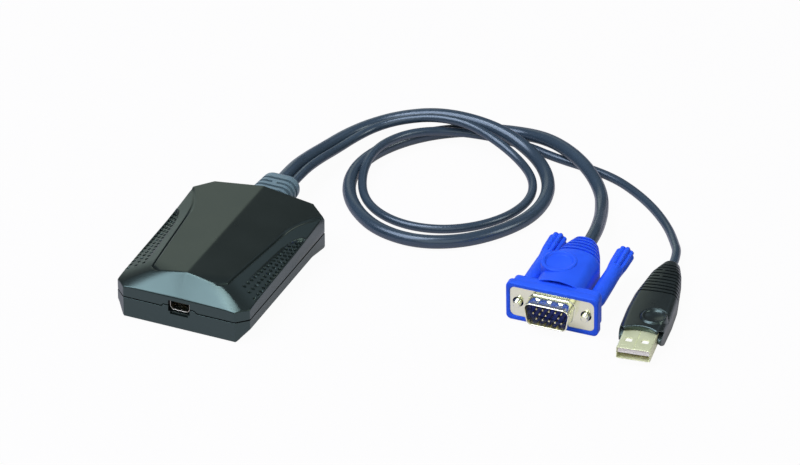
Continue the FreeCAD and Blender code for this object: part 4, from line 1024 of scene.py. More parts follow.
@dataclass
class CoverHeights:
    """Height of the cover at any point: two roof halves, a front slope, corner facets and grips.

    The roof falls from the ridge in proportion to the distance from it, each slope is a plane,
    and the lowest of them wins, with the creases rounded.
    """

    shape: CaseShape
    ridge: float = 19.2
    ridge_round: float = 0.35  # half width of the rounded ridge
    roof_fall: float = 0.1423  # fall of each roof half
    shoulder: float = 12.4  # height of the front and side edges
    setback: float = 7.0  # distance of the roof's front edge from the front wall
    roof_front_half: float = 11.4  # half width of the roof's front edge
    corner_run: Spot = (3.0, 2.5)  # way of the roof's slanted front corner, in x and y
    facet_top: Spot = (12.9, -26.65)  # a point of the corner facet's upper edge, in x and y
    grip_rise: float = 0.02894  # rise of a grip towards the rear
    grip_fall: float = 0.4207  # fall of a grip outwards
    bend: Spot = (18.25, 11.6)  # point where the grip line turns from straight to curved
    bend_way: Spot = (0.1034, 0.9946)  # way of its straight part
    arc_centre: Spot = (50.4, 8.26)
    arc_radius: float = 32.3
    step_half: float = 0.8  # half width of the eased step along the curved part
    rear_rise: float = 1.4  # lift of the grip's rear end
    rear_rise_from: float = 5.6  # station where the lift starts
    rear_rise_run: float = 25.5  # length of the lift
    rear_rise_power: float = 1.5  # power of the lift's curve
    rear_corner: float = 13.4  # height of the roof at a rear corner cut
    rear_corner_fall: float = 2.0  # fall of the roof to that cut
    grip_crease: float = 0.25  # rounding between the roof and a grip
    front_crease: float = 0.22  # rounding between the roof and the front slope
    corner_crease: float = 1.6  # rounding of the corner facet
    rear_crease: float = 0.3  # rounding of the rear corner
    groove_width: float = 0.26  # half width of the fine line round the roof
    groove_depth: float = 0.6
    groove_starts: Spot = (-28.4, -26.6)  # stations between which it starts
    groove_fades: Spot = (6.0, 18.0)  # stations between which it gets softer
    groove_loss: float = 0.6  # share of its depth that it loses there

    def __post_init__(self) -> None:
        """Lay the grip pads against the side walls."""
        self.pad = GripPad(self.shape.half_width)

    def roof(self, x: Array) -> Array:
        """Gable height with a softened ridge."""
        return self.ridge - self.roof_fall * (np.sqrt(x * x + self.ridge_round**2) - self.ridge_round)

    def grip(self, x: Array, y: Array) -> Array:
        """Plane of a grip, with its rear end lifted.

        Args:
            x: Across the case, outwards.
            y: Along the case.

        Returns:
            Heights.
        """
        s = self.shape
        lift = np.clip((y - self.rear_rise_from) / self.rear_rise_run, 0.0, 1.0) ** self.rear_rise_power
        rise = self.grip_rise * (y + s.half_length - s.cut_y)
        return self.shoulder + rise + self.grip_fall * (s.half_width - x) + self.rear_rise * lift

    def grip_side(self, x: Array, y: Array) -> Array:
        """Distance into the grip from the grip line: straight in front, an arc behind.

        Args:
            x: Across the case, outwards.
            y: Along the case.

        Returns:
            Distances, below nought on the roof.
        """
        bx, by = self.bend
        ahead = (x - bx) * self.bend_way[1] - (y - by) * self.bend_way[0]
        behind = self.arc_radius - np.hypot(x - self.arc_centre[0], y - self.arc_centre[1])
        return np.where(y < by, ahead, behind)

    def corner_side(self, x: Array, y: Array) -> Array:
        """Distance outside the slanted front corner of the roof.

        Args:
            x: Across the case, outwards.
            y: Along the case.

        Returns:
            Distances, below nought on the roof.
        """
        front = -self.shape.half_length + self.setback
        run = np.array(self.corner_run) / np.linalg.norm(self.corner_run)
        return (x - self.roof_front_half) * run[1] - (y - front) * run[0]

    def corner_facet(self, x: Array, y: Array) -> Array:
        """Plane through the front corner cut and a point of the roof's edge.

        Args:
            x: Across the case, outwards.
            y: Along the case.

        Returns:
            Heights.
        """
        s = self.shape
        top_x, top_y = self.facet_top
        a = np.array([s.half_width - s.cut_x, -s.half_length, self.shoulder])
        b = np.array([s.half_width, -s.half_length + s.cut_y, self.shoulder])
        c = np.array([top_x, top_y, self.ridge - self.roof_fall * top_x])
        n = np.cross(b - a, c - a)
        return a[2] - (n[0] * (x - a[0]) + n[1] * (y - a[1])) / n[2]

    def rear_facet(self, x: Array, y: Array) -> Array:
        """Plane that lets the roof fall to the rear corner cut."""
        inside = (self.shape.span - self.shape.cut_y * x - self.shape.cut_x * y) / self.shape.slant
        return self.rear_corner + self.rear_corner_fall * inside

    def at(self, x: Array, y: Array) -> Array:
        """Height at each point.

        Args:
            x: Across the case.
            y: Along the case.

        Returns:
            Heights in millimetres.
        """
        side = np.abs(x)
        roof, grip, into = self.roof(x), self.grip(side, y), self.grip_side(side, y)
        share = smooth_step(-self.step_half, self.step_half, into)
        creased = soft_min(roof, grip, self.grip_crease)
        top = np.where(y < self.rear_rise_from, creased, roof * (1 - share) + grip * share)
        front = self.shoulder + (roof - self.shoulder) * (y + self.shape.half_length) / self.setback
        height = soft_min(top, front, self.front_crease)
        height = soft_min(height, self.corner_facet(side, y), self.corner_crease)
        height = soft_min(height, self.rear_facet(side, y), self.rear_crease)
        edge = np.maximum(into, self.corner_side(side, y))
        on_arc = smooth_step(*self.groove_fades, y)
        line = bell(edge, self.groove_width * (1.0 + on_arc))
        groove = self.groove_depth * (1.0 - self.groove_loss * on_arc) * line
        return height - groove * smooth_step(*self.groove_starts, y) - self.pad.cut(side, y)


@dataclass
class Case:
    """The two halves of the case, with seam, socket opening and underside."""

    shape: CaseShape
    rim: float = 0.35  # radius of the cover's rounded rim
    rim_steps: int = 6
    rim_probe: float = 0.2  # distance over which the rim's slope is measured
    rim_slope: float = 1.2  # steepest slope that the rim follows
    wall_edge: float = 0.12  # broken edge at the cover's foot
    roof_x: float = 13.5  # place where the columns get close enough for the grips
    fine_y: Spot = (-26.5, 16.0)  # stations between which the rows are close
    crease: float = 30.0  # angle in degrees above which an edge stays sharp
    foot: float = 0.5  # radius of the lower edge
    # Heights of the lower half's rows under the socket.
    levels: tuple[float, ...] = (4.9, 4.2, 3.4, 2.6, 1.8, 1.1, 0.5, 0.3, 0.15, 0.05, 0.0)
    bevel_rise: float = 4.2  # height of the lower side bevel in front
    bevel_rise_loss: float = 3.0  # how much of it is lost at the rear
    bevel_run: float = 3.8  # width of that bevel in front
    bevel_run_loss: float = 2.6  # how much of it is lost at the rear
    bevel_from: float = 20.4  # station where the bevel starts to fade
    bevel_fade: float = 15.5  # length of the fade
    recess: float = 2.2  # radius of a screw recess
    recess_place: Spot = (17.2, 27.0)  # distance of the recesses from the middle, in x and y
    recess_depth: float = 1.0

    def __post_init__(self) -> None:
        """Work out the cover's heights on the outline."""
        self.heights = CoverHeights(self.shape)

    def columns(self) -> Array:
        """X of the grid columns: close on the grips, wider in the middle.

        Returns:
            Values from the left rim to the right one.
        """
        far, hole = self.shape.half_width - self.rim, self.shape.hole_half
        roof = np.linspace(hole, self.roof_x, 26)[1:]
        grip = np.linspace(self.roof_x, far, 66)[1:]
        return mirrored(np.concatenate([np.linspace(0.0, hole, 15), roof, grip]))

    def build_cover(self) -> bpy.types.Object:
        """Make the upper cover as a height field with rounded rims, walls and a socket hole.

        Returns:
            The cover piece.
        """
        s, draft = self.shape, MeshDraft()
        x = self.columns()
        fine = np.linspace(*self.fine_y, 250) / s.half_length
        front, rear = np.linspace(-1.0, fine[0], 26)[:-1], np.linspace(fine[-1], 1.0, 86)[1:]
        y = np.concatenate([front, fine, rear])[:, None] * s.end_line(x, self.rim)
        top = stack(x, y, self.heights.at(np.broadcast_to(x, y.shape), y))
        draft.grid(top)
        border = np.concatenate([top[0, :-1], top[:-1, -1], top[-1, :0:-1], top[:0:-1, 0]])
        normal = s.loop_normals(border[:, :2], self.rim, 2)
        rim = self.rim_arc(border, normal)
        draft.grid(rim, wrap=True)
        self.add_cover_wall(draft, rim[-1], normal)
        return draft.build("case_cover", Finishes.CASE, "upper_cover", crease=self.crease)

    def rim_arc(self, border: Array, normal: Array) -> Array:
        """Rounded rim: an arc that leaves the roof along its slope and ends upright.

        Args:
            border: Border of the roof, as one closed loop.
            normal: Outward vectors along it.

        Returns:
            Rows of points from the border to the wall.
        """
        inner = border[:, :2] - self.rim_probe * normal
        fall = (self.heights.at(inner[:, 0], inner[:, 1]) - border[:, 2]) / self.rim_probe
        alpha = np.arctan(np.clip(fall, 0.0, self.rim_slope))
        radius = self.rim / (1.0 - np.sin(alpha))
        phi = alpha + (QUARTER - alpha) * np.linspace(0.0, 1.0, self.rim_steps)[:, None]
        run = radius * (np.sin(phi) - np.sin(alpha))
        drop = radius * (np.cos(alpha) - np.cos(phi))
        flat = border[:, :2] + run[..., None] * normal
        return np.concatenate([flat, (border[:, 2] - drop)[..., None]], axis=-1)

    def add_cover_wall(self, draft: MeshDraft, edge: Array, normal: Array) -> None:
        """Drop the wall from the rounded rim to the seam and close it inside.

        Args:
            draft: Mesh that gets the wall.
            edge: Lower end of the rounded rim.
            normal: Outward vectors along it.
        """
        s = self.shape
        low = s.seam + s.gap + s.seam_rise(edge[:, 0], edge[:, 1])
        ahead = edge[:, 1] < -s.half_length + s.wall
        over_hole = ahead & (np.abs(edge[:, 0]) < s.hole_half + NEAR)
        start = edge[over_hole, 2].mean()
        part = (start - s.hole_high) / (start - low[over_hole].mean())
        edge_share, headroom = 0.96, 0.2
        levels = np.array([0.0, 0.5 * part, part, 0.5 + 0.5 * part, edge_share, 1.0])
        inset = np.array([0.0, 0.0, 0.0, 0.0, 0.0, self.wall_edge])
        z = edge[:, 2] + (low - edge[:, 2]) * levels[:, None]
        flat = edge[:, :2] - inset[:, None, None] * normal
        wall = np.concatenate([flat, z[..., None]], axis=-1)
        open_column = over_hole & np.roll(over_hole, -1)
        skip = np.repeat(open_column[None, :], len(levels) - 1, axis=0)
        skip[:2] = False
        draft.grid(wall, wrap=True, skip=skip)
        foot = wall[-1]
        inner = foot.copy()
        inner[:, :2] -= s.wall * normal
        lifted = inner.copy()
        lifted[:, 2] = s.hole_high + headroom
        draft.grid(np.stack([foot, inner, lifted]), wrap=True, skip=skip[2:4])
        draft.cap(lifted)
        draft.grid(s.lining(s.hole_half, s.seam + s.gap + s.lip_rise, s.hole_high, s.wall))

    def base_loop(self) -> Array:
        """Outline of the lower half, with samples at every edge of the socket cuts.

        Returns:
            Points in x and y, counter-clockwise from the front left corner.
        """
        s = self.shape
        step = [s.hole_half, s.lip_half - s.lip_rise]
        plain = np.linspace(s.lip_half, s.half_width - s.cut_x, 14)
        front_x = mirrored(np.concatenate([np.linspace(0.0, s.relief_half, 5), step, plain]))
        front = np.stack([front_x, np.full(len(front_x), -s.half_length)], axis=1)
        side_y = np.linspace(-s.half_length + s.cut_y, s.half_length - s.cut_y, 60)
        east = np.stack([np.full(len(side_y), s.half_width), side_y], axis=1)
        first = front[-1] + (east[0] - front[-1]) * np.linspace(0.0, 1.0, 8)[1:-1, None]
        to_rear, to_left = np.array([1.0, -1.0]), np.array([-1.0, 1.0])
        second, rear = np.flipud(first) * to_rear, np.flipud(front) * to_rear
        third, west = np.flipud(second) * to_left, np.flipud(east) * to_left
        fourth = np.flipud(third) * to_rear
        return np.concatenate([front, first, east, second, rear, third, west, fourth])

    def bevel_limit(self, y: Array, z: Array) -> Array:
        """Half width left by the lower side bevel, which fades out towards the rear.

        Args:
            y: Along the case.
            z: Heights.

        Returns:
            Half widths.
        """
        fade = np.clip((y - self.bevel_from) / self.bevel_fade, 0.0, 1.0)
        rise = self.bevel_rise - self.bevel_rise_loss * fade
        run = self.bevel_run - self.bevel_run_loss * fade
        return self.shape.half_width - run * np.clip(1.0 - z / rise, 0.0, 1.0)

    def build_base(self) -> bpy.types.Object:
        """Make the lower half: walls with bevel, socket cut, underside with screw recesses.

        Returns:
            The lower piece.
        """
        s, draft = self.shape, MeshDraft()
        loop = self.base_loop()
        x, y = loop.T
        normal = s.loop_normals(loop, 0.0, 1)
        top = s.seam + s.seam_rise(x, y)
        low = np.array([s.hole_low, s.relief_low, *self.levels])[:, None]
        ledge = np.stack([top - s.seam_sink, top, top - s.seam_edge])
        z = np.concatenate([ledge, np.repeat(low, len(loop), axis=1)])
        inset = np.concatenate([[s.wall, s.seam_edge, 0.0], np.zeros(len(low))])
        curve = self.foot * rounding(np.clip(1.0 - z / self.foot, 0.0, 1.0))
        flat = loop - (inset[:, None] + curve)[..., None] * normal
        limit = self.bevel_limit(flat[..., 1], z) - curve
        flat[..., 0] = np.clip(flat[..., 0], -limit, limit)
        wall = np.concatenate([flat, z[..., None]], axis=-1)
        ahead = y < -s.half_length + NEAR
        wide = ahead & (np.abs(x) < s.hole_half + NEAR)
        slim = ahead & (np.abs(x) < s.relief_half + NEAR)
        skip = np.zeros((len(z) - 1, len(loop)), bool)
        skip[:3] = wide & np.roll(wide, -1)
        skip[3] = slim & np.roll(slim, -1)
        draft.grid(wall, wrap=True, skip=skip)
        hollow = (0.0, 0.0, -5.0)
        draft.cap(wall[0], hollow)
        self.add_socket_cut(draft)
        self.add_underside(draft, wall[-1])
        return draft.build("case_base", Finishes.CASE, "lower_case", crease=self.crease)

    def add_socket_cut(self, draft: MeshDraft) -> None:
        """Line the notch under the socket and the shallow plug relief below it.

        Args:
            draft: Mesh that gets the linings.
        """
        s = self.shape
        half, high, low = s.relief_half, s.hole_low, s.relief_low
        draft.grid(s.lining(s.hole_half, s.seam + s.lip_rise, s.hole_low, s.wall))
        draft.grid(s.lining(half, high, low, s.relief_depth))
        back = -s.half_length + s.relief_depth
        draft.grid(stack(np.array([-half, half]), back, np.array([[high], [low]])))

    def add_underside(self, draft: MeshDraft, edge: Array) -> None:
        """Fill the underside round four screw recesses.

        Args:
            draft: Mesh that gets the underside.
            edge: Lower end of the walls.
        """
        round_x, round_y = Ring.circle(self.recess, 36).points().T
        far_x, far_y = self.recess_place
        loops = [edge]
        for sx, sy in SIGNS:
            wall = stack(round_x + far_x * sx, round_y + far_y * sy, np.array([[0.0], [self.recess_depth]]))
            draft.grid(wall, wrap=True)
            draft.cap(wall[1])
            loops.append(wall[0])
        draft.region(loops)


@dataclass
class Socket:
    """Folded metal mouth of the front socket."""

    middle: float = 8.75  # height of its middle
    face: float = -34.0  # station of its front face
    half: float = 3.8
    half_height: float = 1.9
    foot: float = 2.9  # half width at the bottom
    rise: float = 1.3  # height of the slanted lower corners
    corner: float = 0.55  # radius of the folds

    def build(self) -> bpy.types.Object:
        """Sweep the folded sheet from its outside over the rounded face to its inside.

        Returns:
            The shell piece.
        """
        high, low = self.middle + self.half_height, self.middle - self.half_height
        right = [(self.foot, low), (self.half, low + self.rise), (self.half, high)]
        ring = Ring.from_corners(right + [(-x, z) for x, z in right[::-1]], self.corner, 5, 4)
        y = np.array([7.0, 0.15, 0.04, 0.0, 0.0, 0.04, 0.15, 6.8]) + self.face
        inset = np.array([0.0, 0.0, 0.04, 0.1, 0.2, 0.26, 0.3, 0.3])
        draft = MeshDraft()
        draft.tube(ring.loft(y, inset))
        return draft.build("socket_mouth", Finishes.SOCKET_STEEL, "socket_shell")


@dataclass
class Boot:
    """Strain relief behind the case, with staggered slots."""

    place: Point = (-1.0, 34.9, 9.8)  # offset in x, station of its start and height of its axis
    length: float = 18.5  # length behind the case
    turn: float = 16.2  # distance from the start at which the end begins to round
    half: Spot = (8.2, 4.8)  # half width and half height at the start
    taper: Spot = (1.0, 0.4)  # loss of half width and half height up to the turn
    tip: Spot = (2.2, 1.6)  # loss of half width and half height over the rounded end
    corner: Spot = (4.1, 1.2)  # corner radius, and its loss over the rounded end
    slots: Grooves = Grooves(3.0, 2.7, 5, 0.52, 0.12)
    slot_depth: float = 3.3
    bridge: float = 2.2  # width of the bridge that is left in a slot
    bridge_soft: float = 0.2  # eased width at the bridge's edges

    def build(self) -> bpy.types.Object:
        """Make the tapered boot with alternating slots and a rounded end.

        Returns:
            The boot piece.
        """
        box = SoftBox(arc=9, side=44)
        tip = self.turn + (self.length - self.turn) * np.sin(quarter_turn(12))
        body = np.linspace(0.0, self.turn, 30)
        y = np.unique(np.concatenate([body, self.slots.stations(), tip]))[:, None]
        t = np.clip(y / self.turn, 0.0, 1.0)
        fall = rounding(np.clip((y - self.turn) / (self.length - self.turn), 0.0, 1.0))
        w, h = (self.half[i] - self.taper[i] * t - self.tip[i] * fall for i in (0, 1))
        x, z = box.points(w, h, self.corner[0] - self.corner[1] * fall)
        x, z = box.sink(x, z, self.slot_depths(x, y, z))
        draft = MeshDraft()
        draft.tube(np.array(self.place) + stack(x, y, z))
        return draft.build("relief_boot", Finishes.RELIEF, "strain_relief", crease=42.0)

    def slot_depths(self, x: Array, y: Array, z: Array) -> Array:
        """Depth of the slots: the even ones are bridged below only, the odd ones on both sides.

        Args:
            x: Across the boot.
            y: Stations.
            z: Height on the section.

        Returns:
            Depths.
        """
        depth = np.zeros_like(x)
        for i in range(self.slots.count):
            bridge = 0.5 * self.bridge - np.abs(x)
            if i % 2 == 0:
                bridge = np.where(z < 0.0, bridge, -1.0)
            cut = 1.0 - smooth_step(-self.bridge_soft, self.bridge_soft, bridge)
            depth = np.maximum(depth, self.slot_depth * self.slots.share(y, i) * cut)
        return depth


@dataclass
class VideoPlug:
    """Blue plug with a D-shaped metal front, 14 pins and two thumbscrews."""

    pose: Pose = Pose((117.3, 17.9, 7.7157), 2.0, 3.0)
    screw_x: float = 12.495  # distance of each thumbscrew from the middle
    d_top: float = 8.75  # half width of the D outline at its top
    d_bottom: float = 7.2  # half width of the D outline at its bottom
    d_height: float = 4.5  # half height of the D outline
    d_corner: float = 2.3
    corner: float = 3.0  # corner radius of the hood's body
    bottom_crown: float = 0.25  # share of the crown that the underside has
    tail: float = 37.4  # station where the tail's end begins to round
    tail_round: float = 0.6  # radius of that rounding
    grooves: Grooves = Grooves(36.0, -2.4, 5, 0.5, 0.07)  # places of the louvre grooves
    groove_depth: float = 1.2
    groove_fade: Spot = (0.2, 0.9)  # downward slopes over which the grooves run out
    top_slope: float = 0.25  # least upward slope of what counts as the top
    boss: Spot = (-3.6, 16.8)  # centre of the thumb boss, across and along
    boss_radius: float = 6.4
    boss_top: float = 8.6
    boss_edge: float = 0.6  # radius of its rounded rim
    boss_sink: float = 1.4  # depth of the body under the boss's top
    boss_join: Spot = (0.6, 0.2)  # room inside the boss's wall over which the body sinks
    dish: float = 4.9  # radius of the dish in it
    plate: Point = (15.4, 6.0, 2.0)  # half width, half height and corner radius of the face plate
    plate_thick: float = 0.8
    screw_hole: float = 2.0  # radius of its screw holes
    flare: float = 0.45  # radius between the plate and the skirt
    dimples: Point = (-4.3, -0.1, 4.1)  # places of the punched dimples on the skirt
    dimple_y: float = 3.1  # their distance in front of the plate
    dimple_depth: float = 0.4
    dimple_fade: Spot = (0.3, 1.15)  # distances from a dimple's middle over which it fades
    pin_pitch: float = 2.29  # distance of the pins in a row
    pin_row: float = 1.98
    pin_stagger: float = 0.25  # shift of each row as a share of the pitch
    pin_radius: float = 0.4
    carrier_gap: float = 0.6  # room between the D outline and the contact carrier
    carrier_span: Spot = (-0.8, 4.8)  # stations of the carrier's front and back
    knob_span: Spot = (7.1, 40.6)  # stations of the knob's start and end
    knob_radius: float = 3.4  # radius of the knob's outer end
    knob_tip: float = 1.2  # length of its rounded end
    knob_tip_fall: float = 0.9  # loss of radius over that end
    knob_foot: float = 0.2  # size of its broken edge in front
    flutes: int = 8
    flute_depth: float = 0.85
    flute_starts: Spot = (27.8, 31.0)  # stations over which the flutes start
    flute_loss: float = 0.3  # share of their depth that is lost over the rounded end
    thread_radius: float = 1.4  # outer radius of the screw
    thread_pitch: float = 0.635  # climb of the thread in one turn
    thread_depth: float = 0.17
    thread_ends: Spot = (3.0, 3.6)  # stations over which the thread runs out
    thread_taper: float = 0.25  # loss of radius at the tip
    thread_tip: Spot = (-2.2, -1.8)  # stations of the tapered tip

    def d_ring(self) -> Ring:
        """Outline of the D-shaped shell, finely sampled along its long sides.

        Returns:
            The ring of samples.
        """
        h = self.d_height
        corners = [(self.d_bottom, -h), (self.d_top, h), (-self.d_top, h), (-self.d_bottom, -h)]
        return Ring.from_corners(corners, self.d_corner, 9, 60)

    def build_hood(self) -> bpy.types.Object:
        """Make the blue hood: framed front, stepped flange, crowned body and grooved tail.

        Returns:
            The hood piece.
        """
        draft = MeshDraft(self.pose)
        self.add_frame(draft)
        self.add_body(draft)
        self.add_boss(draft)
        return draft.build("video_hood_skin", Finishes.BLUE, "video_hood", crease=36.0)

    def add_frame(self, draft: MeshDraft) -> None:
        """Loft the thin front frame and the narrower flange behind it, with rounded edges.

        Each row gives the station, the half width, the half height and the corner radius.

        Args:
            draft: Mesh that gets the frame.
        """
        rows = np.array([
            (5.4, 15.5, 6.1, 2.1), (-0.2, 15.5, 6.1, 2.1), (-0.42, 15.6, 6.2, 2.1),
            (-0.5, 15.8, 6.4, 2.1), (-0.5, 16.45, 7.25, 1.9), (-0.42, 16.7, 7.5, 1.8),
            (-0.2, 16.87, 7.67, 1.8), (0.1, 16.9, 7.7, 1.8), (2.25, 16.9, 7.7, 1.8),
            (2.45, 16.82, 7.62, 1.8), (2.57, 16.6, 7.4, 1.7), (2.6, 16.2, 7.0, 1.6),
            (2.62, 15.98, 6.78, 1.6), (2.75, 15.9, 6.7, 1.6), (4.5, 15.9, 6.7, 1.6),
            (6.2, 15.9, 6.7, 1.6), (6.44, 15.82, 6.62, 1.6), (6.57, 15.6, 6.4, 1.6),
            (6.6, 15.2, 6.0, 1.6), (6.6, 8.0, 5.6, 1.6),
        ])
        y, w, h, r = rows.T[..., None]
        x, z = SoftBox(arc=9, side=24).points(w, h, r)
        draft.tube(stack(x, y, z))

    def body_stations(self) -> tuple[Array, Array]:
        """Stations of the body rows: a slit lip, the body, a rounded end.

        Returns:
            The stations and the inset of each, as columns.
        """
        lip_y = np.array([7.4, 5.6, 5.3, 5.2, 5.24, 5.4])
        lip_inset = np.array([0.6, 0.55, 0.4, 0.2, 0.06, 0.0])
        runs = [np.linspace(5.6, 9.6, 16), np.linspace(9.8, 24.0, 96), np.linspace(24.4, 37.3, 40)]
        body = np.unique(np.round(np.concatenate(runs + [self.grooves.stations()]), 4))
        turn = quarter_turn(7, 1)
        y = np.concatenate([lip_y, body, self.tail + self.tail_round * np.sin(turn)])
        inset = np.concatenate([lip_inset, np.zeros(len(body)), self.tail_round * (1.0 - np.cos(turn))])
        return y[:, None], inset[:, None]

    def add_body(self, draft: MeshDraft) -> None:
        """Loft the body: a crowned top that stands over the flange, sunk under the boss, and louvre
        grooves.

        The crown lifts the section by c (1/2 - (x/w)^2), and the tail leans to one side.

        Args:
            draft: Mesh that gets the body.
        """
        box = SoftBox(arc=20, side=(24, 120, 24, 30))
        upward = box.normal[:, 1]
        y, inset = self.body_stations()
        knots = [5.2, 9.0, 16.0, 24.0, 27.5, 31.0, 34.5, 38.0]
        w = eased(y, knots, [8.9, 8.8, 8.6, 8.6, 8.0, 7.2, 6.1, 4.9]) - inset
        h = eased(y, knots, [7.2, 7.2, 7.2, 7.2, 6.75, 6.1, 5.4, 4.6]) - inset
        crown = eased(y, knots, [2.2, 2.2, 2.2, 2.2, 2.1, 1.9, 1.6, 1.4])
        lean = eased(y, knots, [0.0, 0.0, 0.0, 0.0, -0.42, -0.85, -1.28, -1.7])
        x, z = box.points(w, h, np.full_like(w, self.corner))
        share = np.where(z > 0.0, 1.0, self.bottom_crown) * z / h
        z = z + crown * (0.5 - (x / w) ** 2) * share
        above = 1.0 - smooth_step(*self.groove_fade, -upward)
        x, z = box.sink(x, z, self.groove_depth * self.grooves.shares(y) * above)
        x = x + lean
        reach = np.hypot(x - self.boss[0], y - self.boss[1])
        deep, plain = (self.boss_radius - room for room in self.boss_join)
        under_boss = 1.0 - smooth_step(deep, plain, reach)
        sunk = z + (np.minimum(z, self.boss_top - self.boss_sink) - z) * under_boss
        draft.tube(stack(x, y, np.where(upward > self.top_slope, sunk, z)))

    def add_boss(self, draft: MeshDraft) -> None:
        """Turn the round thumb boss about its own axis: an upright wall, a rounded rim and a dish.

        Args:
            draft: Mesh that gets the boss.
        """
        wall, dish, edge = self.boss_radius, self.dish, self.boss_edge
        turn = quarter_turn(6)
        bowl = np.linspace(1.0, 0.2, 9)
        foot = wall - np.array([0.8, 0.2, 0.0, 0.0])
        brim = dish + np.array([0.5, 0.3, 0.1, -0.2, -0.4])
        radius = np.concatenate([foot, wall - edge * (1.0 - np.cos(turn)), brim, (dish - 0.6) * bowl])
        fall = np.concatenate([[5.0, 5.0, 4.8, 1.0], edge * (1.0 - np.sin(turn)),
                               [0.0, 0.08, 0.26, 0.7, 0.88], 0.95 + 0.2 * (1.0 - bowl**2)])
        angle = np.linspace(0.0, 2.0 * math.pi, 97)[:-1]
        x = self.boss[0] + radius[:, None] * np.cos(angle)
        y = self.boss[1] + radius[:, None] * np.sin(angle)
        draft.tube(stack(x, y, self.boss_top - fall[:, None]))

    def build_shell(self) -> bpy.types.Object:
        """Make the face plate and the D-shaped skirt with three punched dimples on top.

        Returns:
            The metal front piece.
        """
        draft = MeshDraft(self.pose)
        ring = self.d_ring()
        hole = Ring.circle(self.screw_hole, 28).points()
        holes = [hole + np.array([self.screw_x * side, 0.0]) for side in (-1, 1)]
        outlines = [Ring.box(*self.plate).points(), ring.points(-self.flare)]
        draft.slab(outlines + holes, 0.0, self.plate_thick)
        turn = quarter_turn(7)
        skirt = -np.linspace(0.9, 5.6, 40)
        y = np.concatenate([[self.plate_thick], -self.flare * (1.0 - np.cos(turn)), skirt,
                            [-5.8, -5.88, -5.9, -5.9, -5.86, -5.75, 0.7]])
        inset = np.concatenate([[-self.flare], -self.flare * (1.0 - np.sin(turn)), np.zeros(len(skirt)),
                                [0.04, 0.1, 0.18, 0.3, 0.38, 0.45, 0.45]])[:, None]
        x = ring.points()[:, 0]
        on_top = ring.normals[:, 1] > UPRIGHT
        outside = np.arange(len(y))[:, None] < 1 + len(turn) + len(skirt)
        for place in self.dimples:
            off = np.maximum(np.abs(x - place), np.abs(y[:, None] + self.dimple_y))
            punched = 1.0 - smooth_step(*self.dimple_fade, off)
            inset = inset + self.dimple_depth * punched * on_top * outside
        draft.tube(ring.loft(y, inset))
        return draft.build("video_front", Finishes.STEEL, "video_shell", crease=35.0)

    def pin_places(self) -> list[Spot]:
        """Centres of the pins in x and z: three rows of five, one place left empty.

        Returns:
            The places, row by row from the top.
        """
        places = []
        for row, way in ((1, 1.0), (0, -1.0), (-1, 1.0)):
            for i in range(5):
                if (row, i) != (0, 3):
                    across = i - 2 + way * self.pin_stagger
                    places.append((across * self.pin_pitch, row * self.pin_row))
        return places

    def build_contacts(self) -> list[bpy.types.Object]:
        """Make the blue contact carrier and the pins.

        Returns:
            The carrier and the pins.
        """
        carrier, pins = MeshDraft(self.pose), MeshDraft(self.pose)
        round_pin = Ring.circle(self.pin_radius, 16)
        empty = round_pin.points() + np.array([(1.0 - self.pin_stagger) * self.pin_pitch, 0.0])
        carrier.slab([self.d_ring().points(self.carrier_gap), empty], *self.carrier_span)
        y = np.array([-0.7, -4.5, -4.75, -4.92, -5.0])
        inset = np.array([0.0, 0.0, 0.06, 0.16, 0.3])
        for place in self.pin_places():
            pins.tube(round_pin.loft(y, inset, place))
        return [
            carrier.build("pin_carrier", Finishes.INSULATOR, "video_insulator"),
            pins.build("pin_set", Finishes.PIN, "video_pins"),
        ]

    def build_screw(self, side: int) -> list[bpy.types.Object]:
        """Make one thumbscrew: a waisted knob whose outer end is fluted, and its threaded tip.

        Args:
            side: -1 for the left one, 1 for the right one.

        Returns:
            The knob and the screw.
        """
        word, body = ("left", Body.LEFT_SCREW) if side < 0 else ("right", Body.RIGHT_SCREW)
        shift = (side * self.screw_x, 0.0)
        knob, thread = self.draft_knob(shift), self.draft_thread(shift)
        return [
            knob.build(f"knob_{word}_grip", Finishes.BLUE, f"knob_{word}", body),
            thread.build(f"screw_{word}_thread", Finishes.STEEL, f"jackscrew_{word}", body),
        ]

    def draft_knob(self, shift: Spot) -> MeshDraft:
        """Sweep the knob; its flutes cut in by 1 - |sin(n a / 2)|, which leaves round lobes.

        Args:
            shift: Place of its axis in x and z.

        Returns:
            The draft.
        """
        draft = MeshDraft(self.pose)
        ring = Ring.circle(self.knob_radius, 128)
        (near, far), tip, foot = self.knob_span, self.knob_tip, self.knob_foot
        shaft = np.linspace(near + 0.5, far - tip, 80)
        end_y = far - tip * (1.0 - np.sin(quarter_turn(10, 1)))
        y = np.concatenate([near + np.array([0.0, 0.05, foot]), shaft, end_y])[:, None]
        end = np.clip((y - far + tip) / tip, 0.0, 1.0)
        start = np.clip((near + foot - y) / foot, 0.0, 1.0)
        radius = eased(y, [near, 8.6, 10.5, 20.0, 27.5, 32.5, far], [2.6, 2.65, 3.1, 3.0, 2.82, 3.3, 3.4])
        base = self.knob_radius - radius + self.knob_tip_fall * rounding(end) + foot * start
        lobe = 1.0 - np.abs(np.sin(0.5 * self.flutes * ring.angles()))
        reach = smooth_step(*self.flute_starts, y)
        flute = self.flute_depth * reach * lobe * (1.0 - self.flute_loss * end)
        draft.tube(ring.loft(y[:, 0], base + flute, shift))
        return draft

